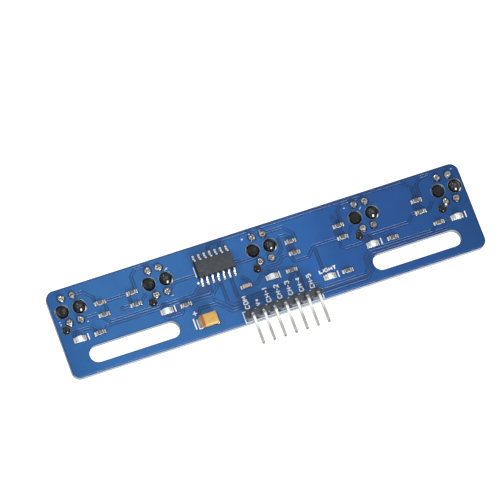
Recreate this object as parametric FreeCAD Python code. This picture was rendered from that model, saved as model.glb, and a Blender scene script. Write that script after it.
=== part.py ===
import FreeCAD, Part
import os

# Line follower sensor board: five reflective infrared sensors under a long circuit board,
# with a comparator chip, status lights and a right-angle pin header on top.
#
# Millimetres. Everything is modelled about the middle of the board's component side
# (X along the board, Y away from the pin header, Z up out of the component side, z = 0 on
# that face). save() then moves it so that the origin is midway between the two mounting
# slots, on the same face.

# Circuit board
BOARD_LENGTH = 96.5
BOARD_WIDTH = 20.4
BOARD_THICKNESS = 1.6
CORNER_CHAMFER = 1.15
UNDERSIDE = -BOARD_THICKNESS
LEAD_HOLE_RADIUS = 0.5

# Mounting slots
SLOT_LENGTH = 20.7
SLOT_WIDTH = 3.9
SLOT_SPACING = 66.0
SLOT_Y = -6.15

# Reflective sensors, hanging under the board with their windows facing down
SENSOR_X = (-43.8, -23.8, 0.45, 24.5, 44.2)
SENSOR_Y = 5.1
HOUSING_X = 5.8
HOUSING_Y = 10.2
HOUSING_HEIGHT = 7.0
HOUSING_BACK_WALL = 1.0
PEG_X = 2.02
PEG_RADIUS = 1.4
PEG_HOLE_RADIUS = 1.55
PEG_TOP = 1.0
PEG_ROUNDING = 0.9
LUG_HEIGHT = 3.0
KEY_X = -2.5
KEY_Y = -4.2
KEY_RADIUS = 0.78
KEY_HOLE_RADIUS = 0.9
KEY_TOP = 0.6
KEY_ROUNDING = 0.5
KEY_HEIGHT = 1.2
POCKET_X = 4.2
POCKET_Y = 3.9
DIODE_GAP = 0.1
DIODE_HEIGHT = 3.0
DIODE_Y = 2.75
LENS_RADIUS = 1.5
LENS_RECESS = 0.35
LEAD_SIZE = 0.5
LEAD_X = 1.27
LEAD_Y = 2.87
LEAD_TOP = 1.3
LEAD_PASSAGE_RADIUS = 0.45

# Soldered joints of the sensor leads and header pins
JOINT_PAD_RADIUS = 0.87
JOINT_NECK_RADIUS = 0.46
JOINT_HEIGHT = 0.8

# Chip resistors and the ceramic capacitor (1.6 x 0.8 mm packages)
CHIP_LENGTH = 1.6
CHIP_WIDTH = 0.8
CHIP_CAP = 0.3
RESISTOR_HEIGHT = 0.45
RESISTORS = (
    (-37.3, 4.45), (-37.3, 1.65), (-39.5, -1.9),
    (-29.95, 4.45), (-29.95, 1.65), (-19.65, -1.9),
    (7.0, 4.5), (7.0, 1.75), (5.0, -1.8),
    (18.3, 4.5), (18.3, 1.7), (28.85, -1.8),
    (36.8, 4.5), (36.8, 1.75), (39.8, -1.8),
    (16.7, -5.8),
)
CERAMIC_CAPACITOR = (-5.75, -2.1)
CERAMIC_HEIGHT = 0.8

# Light-emitting diodes (2.0 x 1.25 mm packages): one per sensor, and the power light
LED_LENGTH = 2.0
LED_WIDTH = 1.25
LED_BASE_HEIGHT = 0.32
LED_CAP = 0.35
LENS_HEIGHT = 0.5
LENS_DRAFT = 0.1
LEDS = {
    "led_1": (-44.1, -1.9), "led_2": (-24.1, -1.9), "led_3": (0.4, -1.85),
    "led_4": (24.1, -1.8), "led_5": (44.1, -1.8), "power_led": (12.5, -5.8),
}

# Tantalum capacitor
TANTALUM = (-16.4, -6.87)
TANTALUM_LENGTH = 3.5
TANTALUM_WIDTH = 2.8
TANTALUM_HEIGHT = 1.9
TANTALUM_DRAFT = 0.1
STRAP_WIDTH = 2.2
STRAP_THICKNESS = 0.1
STRAP_FOOT = 0.8
STRAP_RISE = 1.0

# Comparator chip, 14 leads
CHIP_X = -10.8
CHIP_Y = 4.5
IC_LENGTH = 8.65
IC_WIDTH = 3.9
IC_HEIGHT = 1.75
IC_STANDOFF = 0.1
IC_DRAFT = 0.12
IC_PITCH = 1.27
IC_LEADS_PER_SIDE = 7
IC_LEAD_WIDTH = 0.42
IC_LEAD_THICKNESS = 0.2
IC_SPAN = 6.1
IC_FOOT = 0.5
IC_SHOULDER = 0.38
DIMPLE_RADIUS = 0.45
DIMPLE_DEPTH = 0.1
DIMPLE_INSET = 0.95

# Solder fillets at the ends of the surface-mounted parts
FILLET_LENGTH = 0.5
FILLET_RISE = 0.7
IC_FILLET_LENGTH = 0.4

# Pin header: seven pins, bent outwards above their plastic strip
PIN_COUNT = 7
PIN_PITCH = 2.54
PIN_SIZE = 0.64
PIN_X = 0.4
PIN_Y = -8.95
PIN_REACH = 7.5
PIN_BEND_RADIUS = 1.28
PIN_BEND_HEIGHT = 2.7
PIN_TAIL = 3.2
PIN_CHAMFER = 0.18
STRIP_DEPTH = 2.3
STRIP_HEIGHT = 2.5
STRIP_GROOVE = 0.45
STRIP_Y = -8.9

Vector = FreeCAD.Vector


def block(x_size, y_size, z_size, x, y, z_low):
    """A box centred on x, y that stands on z_low."""
    corner = Vector(x - x_size / 2, y - y_size / 2, z_low)
    return Part.makeBox(x_size, y_size, z_size, corner)


def rod(radius, x, y, z_low, z_high):
    """An upright cylinder."""
    return Part.makeCylinder(radius, z_high - z_low, Vector(x, y, z_low))


def edges_at_z(shape, z):
    """The edges that lie wholly at height z."""
    return [e for e in shape.Edges if max(abs(e.BoundBox.ZMin - z), abs(e.BoundBox.ZMax - z)) < 1e-4]


def domed_rod(radius, x, y, z_base, z_tip, rounding):
    """An upright cylinder with a rounded tip, which may point up or down."""
    cylinder = rod(radius, x, y, min(z_base, z_tip), max(z_base, z_tip))
    return cylinder.makeFillet(rounding, edges_at_z(cylinder, z_tip))


def rectangle(x_size, y_size, x, y, z):
    """A closed rectangular wire centred on x, y."""
    dx, dy = x_size / 2, y_size / 2
    corners = [Vector(x - dx, y - dy, z), Vector(x + dx, y - dy, z),
               Vector(x + dx, y + dy, z), Vector(x - dx, y + dy, z)]
    return Part.makePolygon(corners + corners[:1])


def frustum(x_size, y_size, x, y, z_wide, z_narrow, draft):
    """A moulded block whose sides lean in by draft from z_wide to z_narrow."""
    wide = rectangle(x_size, y_size, x, y, z_wide)
    narrow = rectangle(x_size - 2 * draft, y_size - 2 * draft, x, y, z_narrow)
    return Part.makeLoft([wide, narrow], True, True)


def prism(points, along):
    """A solid swept from a flat closed outline along a vector."""
    return Part.Face(Part.makePolygon(points + points[:1])).extrude(along)


def joined(first, *others):
    """One solid from several that touch or overlap."""
    return first.fuse(list(others)).removeSplitter().Solids[0]


def save(name, solids):
    """Write the solids as one STEP file, with the origin midway between the slots."""
    shape = Part.makeCompound(solids) if len(solids) > 1 else solids[0]
    shape = shape.translated(Vector(0, -SLOT_Y, 0))
    shape.exportStep(f"parts/{name}.step")
    print(f"{name}: {len(shape.Solids)} solid(s), {shape.Volume:.3f} mm3, valid {shape.isValid()}")


# --- circuit board ---

def slot(x):
    """The cutter for one round-ended mounting slot."""
    straight = SLOT_LENGTH - SLOT_WIDTH
    ends = [rod(SLOT_WIDTH / 2, x + side * straight / 2, SLOT_Y, UNDERSIDE - 1, 1) for side in (-1, 1)]
    return joined(block(straight, SLOT_WIDTH, BOARD_THICKNESS + 2, x, SLOT_Y, UNDERSIDE - 1), *ends)


def sensor_lead_places(x):
    """Where one sensor's four leads pass through the board."""
    return [(x + i * LEAD_X, SENSOR_Y + j * LEAD_Y) for j in (-1, 1) for i in (-1, 1)]


def pin_places():
    """The X of each header pin."""
    return [PIN_X + (i - (PIN_COUNT - 1) / 2) * PIN_PITCH for i in range(PIN_COUNT)]


def circuit_board():
    """The board with its slots and every drilled hole."""
    board = block(BOARD_LENGTH, BOARD_WIDTH, BOARD_THICKNESS, 0, 0, UNDERSIDE)
    upright = [e for e in board.Edges if e.BoundBox.ZLength > BOARD_THICKNESS / 2]
    board = board.makeChamfer(CORNER_CHAMFER, upright)
    holes = [(PIN_Y, x, LEAD_HOLE_RADIUS) for x in pin_places()]
    for sensor_x in SENSOR_X:
        holes += [(y, x, LEAD_HOLE_RADIUS) for x, y in sensor_lead_places(sensor_x)]
        holes += [(SENSOR_Y, sensor_x + side * PEG_X, PEG_HOLE_RADIUS) for side in (-1, 1)]
        holes.append((SENSOR_Y + KEY_Y, sensor_x + KEY_X, KEY_HOLE_RADIUS))
    cutters = [rod(radius, x, y, UNDERSIDE - 1, 1) for y, x, radius in holes]
    cutters += [slot(side * SLOT_SPACING / 2) for side in (-1, 1)]
    return board.cut(cutters).Solids[0]


# --- reflective sensors ---

def sensor_housing(x):
    """The black housing: two pockets that open downwards, and the pegs that hold it."""
    face = UNDERSIDE - HOUSING_HEIGHT
    pocket_depth = HOUSING_HEIGHT - HOUSING_BACK_WALL
    housing = block(HOUSING_X, HOUSING_Y, HOUSING_HEIGHT, x, SENSOR_Y, face)
    pegs = []
    for side in (-1, 1):
        peg_x = x + side * PEG_X
        pegs.append(rod(PEG_RADIUS, peg_x, SENSOR_Y, UNDERSIDE - LUG_HEIGHT, UNDERSIDE))
        pegs.append(domed_rod(PEG_RADIUS, peg_x, SENSOR_Y, UNDERSIDE, PEG_TOP, PEG_ROUNDING))
    pegs.append(domed_rod(KEY_RADIUS, x + KEY_X, SENSOR_Y + KEY_Y,
                          UNDERSIDE - KEY_HEIGHT, KEY_TOP, KEY_ROUNDING))
    cutters = [block(POCKET_X, POCKET_Y, pocket_depth, x, SENSOR_Y + side * DIODE_Y, face)
               for side in (-1, 1)]
    cutters += [rod(LEAD_PASSAGE_RADIUS, lead_x, lead_y, face, UNDERSIDE)
                for lead_x, lead_y in sensor_lead_places(x)]
    return joined(housing, *pegs).cut(cutters).Solids[0]


def sensor_diode(x, side):
    """The emitter or detector: a square body with a domed lens that faces down."""
    y = SENSOR_Y + side * DIODE_Y
    back = UNDERSIDE - HOUSING_BACK_WALL
    front = back - DIODE_HEIGHT
    tip = UNDERSIDE - HOUSING_HEIGHT + LENS_RECESS
    body = block(POCKET_X - 2 * DIODE_GAP, POCKET_Y - 2 * DIODE_GAP, DIODE_HEIGHT, x, y, front)
    return joined(body, domed_rod(LENS_RADIUS, x, y, front, tip, LENS_RADIUS - 0.05))


def sensor_leads(x):
    """The four leads, from the backs of the diodes up through the board."""
    back = UNDERSIDE - HOUSING_BACK_WALL
    return [block(LEAD_SIZE, LEAD_SIZE, LEAD_TOP - back, lead_x, lead_y, back)
            for lead_x, lead_y in sensor_lead_places(x)]


# --- soldered joints ---

def solder_joint(x, y, upwards, core):
    """Solder that fills a hole and climbs the lead on the upper or lower side."""
    barrel = rod(LEAD_HOLE_RADIUS, x, y, UNDERSIDE, 0)
    base, direction = (0, Vector(0, 0, 1)) if upwards else (UNDERSIDE, Vector(0, 0, -1))
    cone = Part.makeCone(JOINT_PAD_RADIUS, JOINT_NECK_RADIUS, JOINT_HEIGHT, Vector(x, y, base), direction)
    return joined(barrel, cone).cut(core).Solids[0]


def end_fillet(x, y, side, width, rise, length):
    """A wedge of solder against the end of a surface-mounted part that lies along X."""
    outline = [Vector(x, y - width / 2, 0), Vector(x, y - width / 2, rise),
               Vector(x + side * length, y - width / 2, 0)]
    return prism(outline, Vector(0, width, 0))


# --- surface-mounted parts ---

def chip_part(x, y, height):
    """A small two-ended chip: its body, its two metal ends and their solder."""
    body = block(CHIP_LENGTH - 2 * CHIP_CAP, CHIP_WIDTH, height, x, y, 0)
    ends, fillets = [], []
    for side in (-1, 1):
        cap_x = x + side * (CHIP_LENGTH - CHIP_CAP) / 2
        ends.append(block(CHIP_CAP, CHIP_WIDTH, height, cap_x, y, 0))
        fillets.append(end_fillet(x + side * CHIP_LENGTH / 2, y, side, CHIP_WIDTH,
                                  height * FILLET_RISE, FILLET_LENGTH))
    return body, ends, fillets


def led_part(x, y):
    """A light: its lens, its base, its two metal ends and their solder."""
    length = LED_LENGTH - 2 * LED_CAP
    base = block(length, LED_WIDTH, LED_BASE_HEIGHT, x, y, 0)
    lens = frustum(length, LED_WIDTH, x, y, LED_BASE_HEIGHT, LED_BASE_HEIGHT + LENS_HEIGHT, LENS_DRAFT)
    ends, fillets = [], []
    for side in (-1, 1):
        cap_x = x + side * (LED_LENGTH - LED_CAP) / 2
        ends.append(block(LED_CAP, LED_WIDTH, LED_BASE_HEIGHT, cap_x, y, 0))
        fillets.append(end_fillet(x + side * LED_LENGTH / 2, y, side, LED_WIDTH,
                                  LED_BASE_HEIGHT * FILLET_RISE, FILLET_LENGTH))
    return lens, base, ends, fillets


def tantalum_part(x, y):
    """The moulded tantalum capacitor: its body, two folded metal straps and their solder."""
    body = frustum(TANTALUM_LENGTH, TANTALUM_WIDTH, x, y, STRAP_THICKNESS, TANTALUM_HEIGHT, TANTALUM_DRAFT)
    straps, fillets = [], []
    for side in (-1, 1):
        end_x = x + side * TANTALUM_LENGTH / 2
        foot = block(STRAP_FOOT, STRAP_WIDTH, STRAP_THICKNESS, end_x - side * STRAP_FOOT / 2, y, 0)
        rise = block(STRAP_THICKNESS, STRAP_WIDTH, STRAP_RISE, end_x + side * STRAP_THICKNESS / 2, y, 0)
        straps.append(joined(foot, rise))
        fillets.append(end_fillet(end_x + side * STRAP_THICKNESS, y, side, STRAP_WIDTH,
                                  STRAP_RISE * FILLET_RISE, FILLET_LENGTH))
    return body, straps, fillets


def logic_ic_body():
    """The chip's moulded body, with a dimple that marks the first lead."""
    middle = (IC_STANDOFF + IC_HEIGHT) / 2
    upper = frustum(IC_LENGTH, IC_WIDTH, CHIP_X, CHIP_Y, middle, IC_HEIGHT, IC_DRAFT)
    lower = frustum(IC_LENGTH, IC_WIDTH, CHIP_X, CHIP_Y, middle, IC_STANDOFF, IC_DRAFT)
    dimple = rod(DIMPLE_RADIUS, CHIP_X - IC_LENGTH / 2 + DIMPLE_INSET, CHIP_Y - IC_WIDTH / 2 + DIMPLE_INSET,
                 IC_HEIGHT - DIMPLE_DEPTH, IC_HEIGHT + 1)
    return joined(upper, lower).cut(dimple).Solids[0]


def logic_ic_leads():
    """The chip's gull-wing leads and the solder at their toes."""
    middle = (IC_STANDOFF + IC_HEIGHT) / 2
    top, bottom = middle + IC_LEAD_THICKNESS / 2, middle - IC_LEAD_THICKNESS / 2
    root, toe = IC_WIDTH / 2, IC_SPAN / 2
    heel = toe - IC_FOOT
    outline = [(root, top), (root + IC_SHOULDER, top), (heel, IC_LEAD_THICKNESS),
               (toe, IC_LEAD_THICKNESS), (toe, 0), (heel - 0.15, 0),
               (root + IC_SHOULDER - 0.15, bottom), (root, bottom)]
    leads, fillets = [], []
    for index in range(IC_LEADS_PER_SIDE):
        x = CHIP_X + (index - (IC_LEADS_PER_SIDE - 1) / 2) * IC_PITCH - IC_LEAD_WIDTH / 2
        for side in (-1, 1):
            points = [Vector(x, CHIP_Y + side * y, z) for y, z in outline]
            leads.append(prism(points, Vector(IC_LEAD_WIDTH, 0, 0)))
            wedge = [Vector(x, CHIP_Y + side * toe, 0), Vector(x, CHIP_Y + side * toe, IC_LEAD_THICKNESS),
                     Vector(x, CHIP_Y + side * (toe + IC_FILLET_LENGTH), 0)]
            fillets.append(prism(wedge, Vector(IC_LEAD_WIDTH, 0, 0)))
    return leads, fillets


# --- pin header ---

def header_strip():
    """The plastic strip: one eight-sided unit for each pin, with grooves between them."""
    half_x, half_y, groove = PIN_PITCH / 2, STRIP_DEPTH / 2, STRIP_GROOVE
    units = []
    for x in pin_places():
        corners = [(-half_x, -half_y + groove), (-half_x + groove, -half_y),
                   (half_x - groove, -half_y), (half_x, -half_y + groove),
                   (half_x, half_y - groove), (half_x - groove, half_y),
                   (-half_x + groove, half_y), (-half_x, half_y - groove)]
        outline = [Vector(x + dx, STRIP_Y + dy, 0) for dx, dy in corners]
        units.append(prism(outline, Vector(0, 0, STRIP_HEIGHT)))
    holes = [block(PIN_SIZE, PIN_SIZE, STRIP_HEIGHT, x, PIN_Y, 0) for x in pin_places()]
    return joined(*units).cut(holes).Solids[0]


def header_pin(x):
    """One square pin: up through the board and the strip, then bent outwards."""
    half = PIN_SIZE / 2
    left = x - half
    bend_y = PIN_Y - PIN_BEND_RADIUS
    axis_z = PIN_BEND_HEIGHT + PIN_BEND_RADIUS
    low, tip = -PIN_TAIL, PIN_Y - PIN_REACH

    def point(y, z):
        return Vector(left, y, z)

    def bend(radius):
        """The quarter circle, by its start, middle and end."""
        slant = radius * 0.5 ** 0.5
        return [point(bend_y + radius, PIN_BEND_HEIGHT), point(bend_y + slant, PIN_BEND_HEIGHT + slant),
                point(bend_y, PIN_BEND_HEIGHT + radius)]

    outer, inner = bend(PIN_BEND_RADIUS + half), bend(PIN_BEND_RADIUS - half)
    edges = [
        Part.LineSegment(point(PIN_Y + half, low), outer[0]),
        Part.Arc(*outer),
        Part.LineSegment(outer[2], point(tip, axis_z + half)),
        Part.LineSegment(point(tip, axis_z + half), point(tip, axis_z - half)),
        Part.LineSegment(point(tip, axis_z - half), inner[2]),
        Part.Arc(*reversed(inner)),
        Part.LineSegment(inner[0], point(PIN_Y - half, low)),
        Part.LineSegment(point(PIN_Y - half, low), point(PIN_Y + half, low)),
    ]
    outline = Part.Wire([edge.toShape() for edge in edges])
    pin = Part.Face(outline).extrude(Vector(PIN_SIZE, 0, 0))
    ends = [e for e in pin.Edges if e.BoundBox.YMax < tip + 1e-4 or e.BoundBox.ZMax < low + 1e-4]
    return pin.makeChamfer(PIN_CHAMFER, ends)


# --- the whole assembly ---

def main():
    """Build every piece and write each node's file."""
    os.makedirs("parts", exist_ok=True)
    save("circuit_board", [circuit_board()])

    sensor_joints = []
    for number, x in enumerate(SENSOR_X, start=1):
        leads = sensor_leads(x)
        save(f"sensor_{number}_housing", [sensor_housing(x)])
        save(f"sensor_{number}_emitter", [sensor_diode(x, 1)])
        save(f"sensor_{number}_detector", [sensor_diode(x, -1)])
        save(f"sensor_{number}_leads", leads)
        sensor_joints += [solder_joint(lead_x, lead_y, True, lead)
                          for (lead_x, lead_y), lead in zip(sensor_lead_places(x), leads)]
    save("sensor_solder_joints", sensor_joints)

    resistor_ends, fillets = [], []
    for number, (x, y) in enumerate(RESISTORS, start=1):
        body, ends, wedges = chip_part(x, y, RESISTOR_HEIGHT)
        save(f"resistor_{number:02d}", [body])
        resistor_ends += ends
        fillets += wedges
    save("resistor_terminals", resistor_ends)

    led_bases, led_ends = [], []
    for name, (x, y) in LEDS.items():
        lens, base, ends, wedges = led_part(x, y)
        save(f"{name}_lens", [lens])
        led_bases.append(base)
        led_ends += ends
        fillets += wedges
    save("led_bases", led_bases)
    save("led_terminals", led_ends)

    body, ends, wedges = chip_part(*CERAMIC_CAPACITOR, CERAMIC_HEIGHT)
    save("ceramic_capacitor_body", [body])
    save("ceramic_capacitor_terminals", ends)
    fillets += wedges

    body, straps, wedges = tantalum_part(*TANTALUM)
    save("tantalum_capacitor_body", [body])
    save("tantalum_capacitor_terminals", straps)
    fillets += wedges

    leads, wedges = logic_ic_leads()
    save("logic_ic_body", [logic_ic_body()])
    save("logic_ic_leads", leads)
    save("smd_solder_fillets", fillets + wedges)

    pins = [header_pin(x) for x in pin_places()]
    save("header_housing", [header_strip()])
    save("header_pins", pins)
    save("header_solder_joints", [solder_joint(x, PIN_Y, False, pin) for x, pin in zip(pin_places(), pins)])


main()
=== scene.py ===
import logging
import math
import random
from collections.abc import Iterable, Iterator, Sequence
from dataclasses import dataclass, field, replace
from enum import Enum
from itertools import count

import bmesh
import bpy
from mathutils import Matrix, Vector


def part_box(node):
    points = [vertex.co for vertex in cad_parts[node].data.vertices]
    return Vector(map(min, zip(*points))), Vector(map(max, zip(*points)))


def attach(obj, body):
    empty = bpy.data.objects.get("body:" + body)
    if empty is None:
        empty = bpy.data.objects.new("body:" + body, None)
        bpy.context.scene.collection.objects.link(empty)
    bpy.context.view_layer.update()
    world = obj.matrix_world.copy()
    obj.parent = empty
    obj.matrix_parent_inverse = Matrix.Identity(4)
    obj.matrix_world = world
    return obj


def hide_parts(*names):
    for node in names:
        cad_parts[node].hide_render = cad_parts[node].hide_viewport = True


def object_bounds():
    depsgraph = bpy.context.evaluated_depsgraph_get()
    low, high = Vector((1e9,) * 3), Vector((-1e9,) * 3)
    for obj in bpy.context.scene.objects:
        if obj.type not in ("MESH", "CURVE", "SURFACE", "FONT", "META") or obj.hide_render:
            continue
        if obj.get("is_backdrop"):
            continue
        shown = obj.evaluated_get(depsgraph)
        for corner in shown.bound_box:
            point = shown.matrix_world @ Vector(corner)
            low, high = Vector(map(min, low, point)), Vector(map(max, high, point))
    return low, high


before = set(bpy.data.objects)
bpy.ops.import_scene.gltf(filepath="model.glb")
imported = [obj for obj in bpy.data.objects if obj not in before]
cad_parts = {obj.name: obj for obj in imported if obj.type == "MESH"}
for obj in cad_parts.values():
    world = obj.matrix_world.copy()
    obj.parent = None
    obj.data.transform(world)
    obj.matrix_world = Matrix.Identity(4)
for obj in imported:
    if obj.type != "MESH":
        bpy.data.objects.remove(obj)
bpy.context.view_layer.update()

# Looks of a line follower sensor board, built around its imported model.
# Forms are made in millimetres in the row frame and scaled to metres when they are installed.
# The board's artwork is laid out about the middle of the board: X along it, Y away from the header.

MM = 0.001
UP = Vector((0, 0, 1))
AXIS_X = Vector((1, 0, 0))
AXIS_Y = Vector((0, 1, 0))

WAYS = (-1, 1)
SENSORS = range(1, 6)

log = logging.getLogger("sensor_board")

Point = tuple[float, float]
Path = Sequence[Point]
Triple = tuple[float, float, float]
Socket = bpy.types.NodeSocket
Faces = list[bmesh.types.BMFace]


class Side(Enum):
    """A face of the circuit board."""

    TOP = 1
    BOTTOM = -1


class Carving(Enum):
    """What one form does to another."""

    CUT = "DIFFERENCE"
    JOIN = "UNION"


class Diode(Enum):
    """One of a sensor's two diodes, by the end of the housing that it sits in."""

    EMITTER = 1
    DETECTOR = -1


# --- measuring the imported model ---

def box_of(node: str) -> tuple[Vector, Vector]:
    """Measure a CAD node.

    Args:
        node: The node's name.

    Returns:
        Its lowest and highest corner, in millimetres.
    """
    low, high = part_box(node)
    return low / MM, high / MM


def middle_of(node: str) -> Vector:
    """Return the middle of a CAD node's box, in millimetres."""
    low, high = box_of(node)
    return (low + high) / 2


BOARD_LOW, BOARD_HIGH = box_of("circuit_board")
BOARD_MIDDLE = (BOARD_LOW + BOARD_HIGH) / 2
RESISTORS = [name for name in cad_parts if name.startswith("resistor_") and name[-1].isdigit()]
FLAT_CHIPS = [*RESISTORS, "ceramic_capacitor_body"]
LIGHTS = [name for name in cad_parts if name.endswith("_lens")]


def on_board(x: float, y: float, z: float = 0.0) -> Vector:
    """Return an artwork place, given about the board's middle, as a point in the row frame."""
    return Vector((BOARD_MIDDLE.x + x, BOARD_MIDDLE.y + y, BOARD_HIGH.z + z))


def rectangle(low: Vector, high: Vector, z: float, inset: float = 0.0) -> list[Vector]:
    """Return the four corners of a box's plan at one height, drawn in by an inset."""
    left, right, front, back = low.x + inset, high.x - inset, low.y + inset, high.y - inset
    return [Vector((x, y, z)) for x, y in ((left, front), (right, front), (right, back), (left, back))]


# --- finishes ---

class NodeTree:
    """The nodes of one material, with short ways to add to them."""

    def __init__(self, name: str) -> None:
        """Make the material.

        Args:
            name: The material's name.
        """
        self.material = bpy.data.materials.new(name)
        self.material.use_nodes = True
        self.nodes = self.material.node_tree.nodes
        self.links = self.material.node_tree.links
        self.shader = self.nodes["Principled BSDF"]
        self.place = self.nodes.new("ShaderNodeTexCoord").outputs["Object"]

    def add(self, kind: str, inputs: dict[str | int, object], **settings: object) -> bpy.types.Node:
        """Add a node.

        Args:
            kind: The node's type.
            inputs: Values or sockets for its inputs, by name or place.
            **settings: Its own properties.

        Returns:
            The node.
        """
        node = self.nodes.new(kind)
        for key, value in settings.items():
            setattr(node, key, value)
        for key, value in inputs.items():
            self.feed(node.inputs[key], value)
        return node

    def feed(self, socket: Socket, value: object) -> None:
        """Link a socket to another, or set its value.

        Args:
            socket: The socket that is fed.
            value: What feeds it.
        """
        if isinstance(value, Socket):
            self.links.new(value, socket)
        else:
            socket.default_value = value

    def steps(self, size: float, stretch: Triple = (1.0, 1.0, 1.0)) -> Socket:
        """Return the Object coordinates in steps of size millimetres, stretched along some axes."""
        scale = tuple(1 / (size * MM * share) for share in stretch)
        return self.add("ShaderNodeMapping", {"Vector": self.place, "Scale": scale}).outputs["Vector"]

    def noise(self, size: float, detail: float = 3.0, stretch: Triple = (1.0, 1.0, 1.0)) -> Socket:
        """Return a noise whose features are about size millimetres, stretched along some axes."""
        inputs = {"Vector": self.steps(size, stretch), "Scale": 1.0, "Detail": detail, "Roughness": 0.55}
        return self.add("ShaderNodeTexNoise", inputs).outputs["Fac"]

    def axis(self, name: str) -> Socket:
        """Return one Object coordinate, in metres."""
        return self.add("ShaderNodeSeparateXYZ", {"Vector": self.place}).outputs[name]

    def span(self, value: Socket, low: float, high: float, start: float = 0.0, end: float = 1.0) -> Socket:
        """Return a value mapped from start..end to low..high."""
        inputs = {"Value": value, "From Min": start, "From Max": end, "To Min": low, "To Max": high}
        return self.add("ShaderNodeMapRange", inputs).outputs["Result"]

    def ramp(self, value: Socket, stops: Sequence[tuple[float, Triple]]) -> Socket:
        """Add a colour ramp over a value.

        Args:
            value: The value.
            stops: Its places, from 0 to 1, and the colour at each.

        Returns:
            The colour.
        """
        node = self.add("ShaderNodeValToRGB", {"Fac": value})
        elements = node.color_ramp.elements
        while len(elements) < len(stops):
            elements.new(0.5)
        for element, (position, colour) in zip(elements, stops):
            element.position = position
            element.color = (*colour, 1.0)
        return node.outputs["Color"]

    def blend(self, first: Socket, second: object, factor: object, kind: str) -> Socket:
        """Return two colours mixed."""
        inputs = {"Factor": factor, "A": first, "B": second}
        return self.add("ShaderNodeMix", inputs, data_type="RGBA", blend_type=kind).outputs["Result"]

    def reckon(self, operation: str, first: Socket, second: Socket) -> Socket:
        """Return the result of an operation on two values."""
        return self.add("ShaderNodeMath", {0: first, 1: second}, operation=operation).outputs["Value"]

    def bump(self, height: Socket, depth: float) -> None:
        """Raise and lower the surface by about depth millimetres."""
        made = self.add("ShaderNodeBump", {"Height": height, "Strength": 1.0, "Distance": depth * MM})
        self.links.new(made.outputs["Normal"], self.shader.inputs["Normal"])

    def wire(self, **inputs: object) -> None:
        """Set or link the shader's inputs, named with underscores for spaces."""
        for key, value in inputs.items():
            self.feed(self.shader.inputs[key.replace("_", " ")], value)


@dataclass(frozen=True)
class Finish:
    """A surface finish with mottled colour, uneven gloss and a fine relief.

    Attributes:
        name: The material's name.
        dark: The colour in its darker patches, linear.
        light: The colour in its lighter patches, linear.
        gloss: The lowest and highest roughness.
        mottle: The size of the colour patches, in millimetres.
        grain: The size of the relief's features, in millimetres.
        relief: The relief's depth, in millimetres.
        metallic: 1 for metal.
        coat: The weight of a clear coat.
        clear: The share of light let through.
        stretch: How much longer the patches and relief are along each axis.
        shine: The strength of its mirror reflection; 0.5 is plain plastic.
        glow: The light that it gives off by itself.
    """

    name: str
    dark: Triple
    light: Triple
    gloss: tuple[float, float] = (0.3, 0.45)
    mottle: float = 1.2
    grain: float = 0.12
    relief: float = 0.004
    metallic: float = 0.0
    coat: float = 0.0
    clear: float = 0.0
    stretch: Triple = (1.0, 1.0, 1.0)
    shine: float = 0.5
    glow: float = 0.0

    def material(self) -> bpy.types.Material:
        """Return the finish's material, made once."""
        name = f"finish_{self.name}"
        found = bpy.data.materials.get(name)
        if found:
            return found
        tree = NodeTree(name)
        self.dress(tree)
        return tree.material

    def colour(self, tree: NodeTree) -> Socket:
        """Return the mottled colour."""
        patches = tree.noise(self.mottle, 4, self.stretch)
        return tree.ramp(patches, [(0.3, self.dark), (0.7, self.light)])

    def surface(self, tree: NodeTree) -> Socket:
        """Return the height of the fine relief."""
        return tree.noise(self.grain, 5, self.stretch)

    def dress(self, tree: NodeTree) -> None:
        """Fill in the node tree.

        Args:
            tree: The material's tree.
        """
        tree.wire(Base_Color=self.colour(tree), Roughness=tree.span(tree.noise(self.mottle / 2), *self.gloss),
                  Metallic=self.metallic, Coat_Weight=self.coat, Coat_Roughness=0.06,
                  Transmission_Weight=self.clear, IOR=1.5, Specular_IOR_Level=self.shine,
                  Emission_Strength=self.glow)
        tree.bump(self.surface(tree), self.relief)


@dataclass(frozen=True)
class SolderMask(Finish):
    """Printed lacquer over copper, with painted light: its tone dims along the board, most towards the right
    end.

    Attributes:
        painted_falloff: Places along the board, from 0 to 1, and the colour at each: painted light that dims
            towards the right end.
        weave: The pitch of the glass cloth that shows through, in millimetres.
    """

    painted_falloff: tuple[tuple[float, Triple], ...] = ()
    weave: float = 0.55

    def colour(self, tree: NodeTree) -> Socket:
        """Lay the painted light falloff along the board, with faint patches.

        Args:
            tree: The material's tree.

        Returns:
            The colour.
        """
        along = tree.span(tree.axis("X"), 0, 1, BOARD_LOW.x * MM, BOARD_HIGH.x * MM)
        # Painted light: the mask's tone dims along the board, most towards the right end, in place of the
        # lamps' falloff.
        painted_falloff_colour = tree.ramp(along, list(self.painted_falloff))
        patches = tree.ramp(tree.noise(self.mottle, 3), [(0.3, self.dark), (0.7, self.light)])
        return tree.blend(painted_falloff_colour, patches, 1.0, "MULTIPLY")

    def surface(self, tree: NodeTree) -> Socket:
        """Add the cloth's weave to the fine relief.

        Args:
            tree: The material's tree.

        Returns:
            The relief's height.
        """
        inputs = {"Vector": tree.steps(self.weave), "Scale": 0.32, "Distortion": 1.2, "Detail": 1.0}
        bands = [tree.add("ShaderNodeTexWave", inputs, bands_direction=direction).outputs["Fac"]
                 for direction in ("X", "Y")]
        return tree.reckon("ADD", tree.reckon("ADD", *bands), tree.noise(self.grain, 4))


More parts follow.
